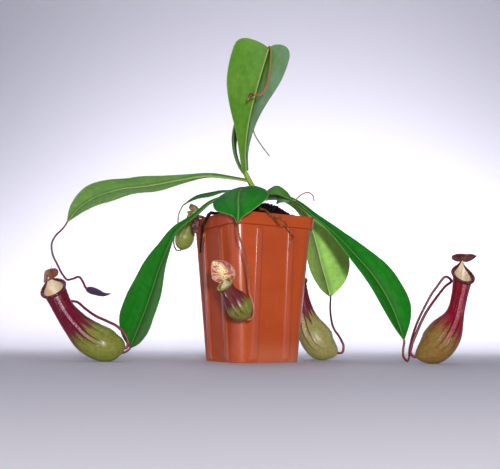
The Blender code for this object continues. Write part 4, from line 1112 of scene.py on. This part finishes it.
# Lids: upper side, under side, middle stripe, rim, streaks and speckles, and their strength
LID_LOOKS = {
    "left lid": ((0.2, 0.05, 0.03), (0.28, 0.16, 0.07), (0.3, 0.2, 0.08), (0.22, 0.03, 0.03),
                 (0.24, 0.06, 0.03), 0.5),
    "right lid": ((0.26, 0.05, 0.05), (0.26, 0.07, 0.06), (0.3, 0.14, 0.08), (0.12, 0.012, 0.018),
                  (0.07, 0.01, 0.015), 0.7),
    "back lid": ((0.2, 0.12, 0.05), (0.3, 0.2, 0.12), (0.3, 0.28, 0.1), (0.14, 0.03, 0.03),
                 (0.14, 0.03, 0.03), 0.6),
    "front lid": ((0.6, 0.36, 0.24), (0.72, 0.46, 0.3), (0.95, 0.8, 0.4), (0.72, 0.42, 0.3),
                  (0.36, 0.035, 0.05), 1.0),
    "small lid": ((0.36, 0.2, 0.14), (0.4, 0.26, 0.18), (0.4, 0.38, 0.14), (0.3, 0.2, 0.1),
                  (0.2, 0.08, 0.06), 0.5),
}

looks = {}
for make, table in ((leaf_finish, LEAF_LOOKS), (limb_finish, LIMB_LOOKS), (bark_finish, BARK_LOOKS),
                    (earth_finish, EARTH_LOOKS), (plastic_finish, PLASTIC_LOOKS), (lip_finish, LIP_LOOKS),
                    (lining_finish, LINING_LOOKS), (cup_finish, CUP_LOOKS), (lid_finish, LID_LOOKS)):
    for title, values in table.items():
        looks[title] = make(title, *values)


def disc(ring, shares_out):
    """Rings that carry a flat ring in to or out from its middle, each at a share of its size."""
    flat = ring[None, :, :2] * shares_out[:, None, None]
    return np.concatenate([flat, np.broadcast_to(ring[None, :, 2:], (len(flat), len(ring), 1))], axis=2)


def pot_surface():
    """The pot's skin in rows: from the middle of the base out, up the outside, over the rim, down and in to
    the middle of the floor. The mark "rubbed" is 1 on the ribs, and at a corner it rises as a sine to 1 in
    the middle."""
    band = POT_HEIGHT - BAND_HEIGHT
    inner = RIM_SIDE - 2 * WALL
    floor_side = body_side(FLOOR_THICK) - 2 * WALL
    round_in = CORNER_RADIUS - WALL
    outside = [(body_side(2.2), 2.2, 0, 0.5), (body_side(3.4), 3.4, RIB_HEIGHT, 0.5),
               (body_side(band - 3.4), band - 3.4, RIB_HEIGHT, 0.5), (body_side(band - 2), band - 2, 0, 0.5),
               (BODY_TOP_SIDE, band, 0, 0.3), (RIM_SIDE - 0.6, band + 0.4, 0, 0.8),
               (RIM_SIDE, POT_HEIGHT - 0.2, 0, 0.8)]
    inside = [(inner, POT_HEIGHT, 0.6), (inner - 1.6, band + 2, 0.6), (BODY_TOP_SIDE - 2 * WALL, band, 0.6),
              (floor_side, FLOOR_THICK, 1.0)]
    corners = [(BASE_SIDE - 4, 0.0, CORNER_RADIUS - 1.5, 0, 0), (BASE_SIDE, 0.0, CORNER_RADIUS, 0, 1.0),
               *[(side, height, CORNER_RADIUS, rib, cut) for side, height, rib, cut in outside],
               *[(side, height, round_in, 0, cut) for side, height, cut in inside],
               (floor_side - 6, FLOOR_THICK, round_in - 3, 0, 0)]
    bent = np.sin(np.linspace(0, math.pi, POT_BENDS))
    rings = []
    rubbed = []
    for side, height, corner, rib in rounded_profile(corners):
        sides = ribbed(rib)
        flat = square_ring(side, corner, sides, POT_BENDS)
        rings.append(np.column_stack([flat, np.full(len(flat), height)]))
        rubbed.append(np.tile(np.concatenate([sides[:, 2] * (rib > 0), bent]), 4))
    rings = np.array(rings)
    shrink = np.array([0.0, 0.35, 0.7])
    points = closed_round(np.concatenate([disc(rings[0], shrink), rings, disc(rings[-1], shrink[::-1])]))
    plain = np.zeros((len(shrink), rings.shape[1]))
    return {"points": points, "uv": round_uv(points.shape[1], np.linspace(0, 1, len(points))),
            "marks": {"rubbed": closed_round(np.concatenate([plain, np.array(rubbed), plain]))}}


def pot():
    """The pot in place of its node, with its drain holes cut through the floor."""
    look = looks["terracotta plastic"]
    made = piece("pot_shell", "pot", "terracotta_plastic", [pot_surface()], [look], POT_SHARP)
    drill = bmesh.new()
    for index in range(4):
        across, back = (DRAIN_PLACE * MM, 0) @ spin(POT_TURN + 90 * index)
        place = Matrix.Translation((across, back, 0))
        bmesh.ops.create_cone(drill, cap_ends=True, segments=36, radius1=DRAIN_RADIUS * MM,
                              radius2=DRAIN_RADIUS * MM, depth=4 * FLOOR_THICK * MM, matrix=place)
    holes = bpy.data.meshes.new("drain_holes")
    drill.to_mesh(holes)
    drill.free()
    cutter = link("drain_holes", holes)
    cut = made.modifiers.new("drained", "BOOLEAN")
    cut.operation = "DIFFERENCE"
    cut.object = cutter
    bpy.context.view_layer.update()
    whole = bpy.data.meshes.new_from_object(made.evaluated_get(bpy.context.evaluated_depsgraph_get()))
    made.modifiers.clear()
    made.data = whole
    whole.shade_smooth()
    whole.set_sharp_from_angle(angle=math.radians(POT_SHARP))
    bpy.data.objects.remove(cutter)


def soil_height(x, y):
    """Height of the soil's top: a broad-topped heap over the edge height, roughened by crossed waves."""
    heap = SOIL_HEAP * np.exp(-(np.hypot(x - 5, y) / SOIL_HEAP_RADIUS) ** SOIL_HEAP_POWER)
    waves = np.sin(0.55 * x + 0.31 * y) + np.sin(0.47 * y - 0.38 * x + 2)
    waves += 0.7 * np.sin(0.9 * x - 0.8 * y + 1)
    return SOIL_EDGE + heap + SOIL_BUMP * waves / 2


def crumbs(x, y):
    """Roughness of the soil's top: noise of three sizes, the finest weakest."""
    flat = np.stack([x, y, 0 * x], axis=-1)
    return 1.1 * lumps(flat, 6.0, 11) + 0.8 * lumps(flat, 2.6, 12) + 0.45 * lumps(flat, 1.2, 13)


def soil():
    """Soil in place of its node: a flat bottom and sides that follow the pot, and the top in rings that
    shrink towards the stem's hole. The crumbs die away over the outermost twelfth of the way in."""
    slack = 2 * WALL + 2 * GAP
    corner = CORNER_RADIUS - WALL - GAP
    low = FLOOR_THICK + GAP
    sides = np.column_stack([np.linspace(-30, 30, 30), np.zeros(30)])
    edge, foot = [square_ring(body_side(height) - slack, corner, sides, 12)
                  for height in (POT_HEIGHT - BAND_HEIGHT - 2, low)]
    bottom = np.column_stack([foot, np.full(len(edge), low)])
    hole = STEM_FOOT + unit(edge - STEM_FOOT) * (STEM_RADIUS - 0.6)
    share = np.linspace(0.0, 1.0, 62)[:, None, None]
    flat = edge + (hole - edge) * share
    inside = np.sin(np.pi * np.clip(share[..., 0] * 6, 0, 0.5))
    top = soil_height(flat[..., 0], flat[..., 1]) + crumbs(flat[..., 0], flat[..., 1]) * inside
    points = closed_round(np.concatenate([bottom[None], np.concatenate([flat, top[..., None]], axis=2)]))
    uv = round_uv(points.shape[1], np.linspace(0, 1, len(points)))
    piece("soil_heap", "soil", "soil", [capped({"points": points, "uv": uv})], [looks["dark soil"]])


def bark_chips():
    """Loose chips on the soil: balls of a few faces, stretched by random sizes, turned by random
    quaternions and roughened by noise."""
    random = np.random.default_rng(31)
    place = random.uniform(-48, 48, (460, 2))
    place = place[np.linalg.norm(place - STEM_FOOT, axis=1) > 6] @ spin(POT_TURN)
    count = len(place)
    height = soil_height(place[:, 0], place[:, 1]) + crumbs(place[:, 0], place[:, 1])
    middle = np.column_stack([place, height + 0.5])[:, None, None]
    down, around = np.meshgrid(np.linspace(0, math.pi, 5), np.linspace(0, TURN, 7), indexing="ij")
    ball = np.stack([np.sin(down) * np.cos(around), np.sin(down) * np.sin(around), np.cos(down)], axis=-1)
    ball[:, -1] = ball[:, 0]
    size = random.uniform(0.7, 2.3, (count, 1)) * random.uniform(0.5, 1.3, (count, 3))
    size[:, 2] *= 0.45
    w, x, y, z = unit(random.normal(size=(count, 4)) * (1, 0.25, 0.25, 1.0)).T
    turned = np.array([[1 - 2 * (y * y + z * z), 2 * (x * y - w * z), 2 * (x * z + w * y)],
                       [2 * (x * y + w * z), 1 - 2 * (x * x + z * z), 2 * (y * z - w * x)],
                       [2 * (x * z - w * y), 2 * (y * z + w * x), 1 - 2 * (x * x + y * y)]])
    chips = np.einsum("nij,nrcj->nrci", turned.transpose(2, 0, 1), ball[None] * size[:, None, None, :])
    rough = 1 + 0.35 * lumps(chips + middle * 3, 1.3, 21)[..., None]
    rough[:, :, -1] = rough[:, :, 0]
    chips = chips * rough + middle
    for index, look in enumerate(("bark chip dark", "bark chip brown", "bark chip dark")):
        grids = [{"points": chip, "uv": np.zeros((5, 7, 2))} for chip in chips[index::3]]
        piece(f"bark_chips_{index}", None, "soil", grids, [looks[look]], 30)


def leaf(name, midrib, slot="leaf", look="leaf green", **spec):
    """A leaf blade in place of its node, its base sunk into the stem."""
    piece(name + "_blade", name, slot, [blade(seated(midrib, -BASE_SUNK), **spec)], [looks[look]])


def tendril(name, route, radii, look, last_radius=None, slot="tendril", rough=0.0):
    """A tendril or dried strand in place of its node. Its radius changes evenly along its length, apart
    from the very last point's where that is given."""
    radii = radii[0] + (radii[1] - radii[0]) * shares(route)
    if last_radius:
        radii[-1] = last_radius
    piece(name + "_limb", name, slot, [rod(route, radii, 14, rough=rough)], [looks[look]])


def bud(name, route, radii, look, rough=0.0):
    """An unopened or withered pitcher in place of its node."""
    piece(name + "_body", name, "withered", [rod(route, radii, 28, 0.45, rough, 5)], [looks[look]])


def pitcher(name, slot, lid, lid_half, lid_face, spur, lid_fold=8, lip_look="lip maroon", **spec):
    """A cup with its lid and spur in place of one node. The lid starts a little inside the neck."""
    which = name.removeprefix("pitcher_")
    skins = [looks[f"{which} pitcher skin"], looks[lip_look], looks["cup lining"]]
    piece(name + "_cup", name, slot, [cup(**spec)], skins, 70)
    first, second = np.array(lid[:2], float)
    cover = lid_plate([first - unit(second - first) * LID_SUNK, *lid[1:]], lid_half, lid_face, lid_fold)
    thin = rod(spur, (0.7, 0.25), 10, 0.5)
    around = thin["points"].shape[:2]
    thin["marks"] = {"under": np.zeros(around), "from_edge": np.full(around, 9.0)}
    piece(name + "_lid", name, slot, [cover, thin], [looks[f"{which} lid"]], 70)


pot()
soil()
bark_chips()
stem = rod(STEM_ROUTE, (STEM_RADIUS, STEM_TOP_RADIUS), 28, 0.8, 0.05, 3)
piece("stem_limb", "stem", "stem", [stem], [looks["stem yellow green"]])
for build, table in ((leaf, LEAVES), (tendril, TENDRILS), (bud, BUDS)):
    for title, spec in table.items():
        build(title, **spec)
strands = [rod(route, radii, 12, 0.6, 0.3, 40 + index) for index, (route, radii) in enumerate(ROOTS)]
piece("root_strands", "root_right", "withered", strands, [looks["root brown"]])
for title, spec in PITCHERS.items():
    pitcher(title, **spec)


# Floor: where it starts to curve up and the radius of the curve, in metres
SWEEP_FROM = 0.45
SWEEP_RADIUS = 1.9


def sweep():
    """Pale floor that curves up into a backdrop: a quarter circle joins the two."""
    turn = np.linspace(0, math.pi / 2, 24)
    curve = np.column_stack([SWEEP_FROM + SWEEP_RADIUS * np.sin(turn), SWEEP_RADIUS * (1 - np.cos(turn))])
    profile = np.concatenate([[(-3.0, 0.0)], curve, [(SWEEP_FROM + SWEEP_RADIUS, 4.0)]])[:, None]
    places = np.concatenate([np.broadcast_to(side, (len(profile), 1, 1)) for side in (-4.0, 4.0)], axis=1)
    places = np.concatenate([places, np.repeat(profile, 2, axis=1)], axis=2)
    first = np.arange(len(profile) - 1) * 2
    faces = np.stack([first, first + 1, first + 3, first + 2], axis=-1)
    mesh = bpy.data.meshes.new("floor_sweep")
    mesh.from_pydata(places.reshape(-1, 3).tolist(), [], faces.tolist())
    mesh.shade_smooth()
    look = bpy.data.materials.new("pale sweep")
    look.use_nodes = True
    shader = look.node_tree.nodes["Principled BSDF"]
    shader.inputs["Base Color"].default_value = (0.62, 0.61, 0.66, 1)
    shader.inputs["Roughness"].default_value = 0.75
    mesh.materials.append(look)
    made = link("floor_sweep", mesh)


def lamp(name, place, aim, size, power, colour=(1, 1, 1), height=None):
    """A soft square light that looks at a point, or a rectangle where a height is given."""
    light = bpy.data.lights.new(name, "AREA")
    light.size = size
    if height:
        light.shape = "RECTANGLE"
        light.size_y = height
    light.energy = power
    light.color = colour
    made = link(name, light)
    made.location = place
    made.rotation_euler = (Vector(aim) - Vector(place)).to_track_quat("-Z", "Y").to_euler()
    made.visible_camera = False


sweep()
lamp("key", (0.13, -1.37, 0.17), (0, 0, 0.16), 0.12, 15.5, (1.0, 0.97, 0.95))
lamp("strip", (-1.42, 0.52, 0.3), (0, 0, 0.12), 0.14, 3.4, (1.0, 0.7, 0.78), 0.9)
lamp("soft left", (-1.15, -0.72, 0.22), (0, 0, 0.12), 0.6, 0.7, (1.0, 0.68, 0.85), 0.5)
lamp("top", (-0.2, 0.2, 1.6), (0, 0, 0.15), 1.2, 4, (0.96, 0.97, 1.0))
lamp("front", (0.0, -2.2, 0.9), (0, 0, 0.15), 1.5, 3)
lamp("backdrop", (0.2, 0.75, 1.0), (0.2, 2.0, 0.15), 1.7, 33, (0.96, 0.96, 1.0), 0.5)

world = bpy.data.worlds.new("pale room")
world.use_nodes = True
world.node_tree.nodes["Background"].inputs["Color"].default_value = (0.72, 0.74, 1.0, 1)
world.node_tree.nodes["Background"].inputs["Strength"].default_value = 0.24
bpy.context.scene.world = world
bpy.context.scene.view_settings.view_transform = "Standard"

# Camera, as found from the pot's lines in the photo: tilt, roll, focal length and width in the photo's
# pixels, sensor width in mm and place in metres
PITCH = math.radians(7.24)
ROLL = math.radians(0.42)
FOCAL = 755.0
PHOTO_WIDTH = 500
SENSOR = 36.0
EYE = (-0.0023, -0.866, 0.0346)
forward = Vector((0, math.cos(PITCH), math.sin(PITCH)))
level = Vector((1, 0, 0))
above = Vector((0, -math.sin(PITCH), math.cos(PITCH)))
right = level * math.cos(ROLL) + above * math.sin(ROLL)
upward = above * math.cos(ROLL) - level * math.sin(ROLL)
view = bpy.data.cameras.new("photo view")
view.sensor_width = SENSOR
view.lens = FOCAL / PHOTO_WIDTH * SENSOR
view.clip_start = 0.02
camera = link("photo view", view)
camera.matrix_world = Matrix([*zip(right, upward, -forward, EYE), (0, 0, 0, 1)])
bpy.context.scene.camera = camera
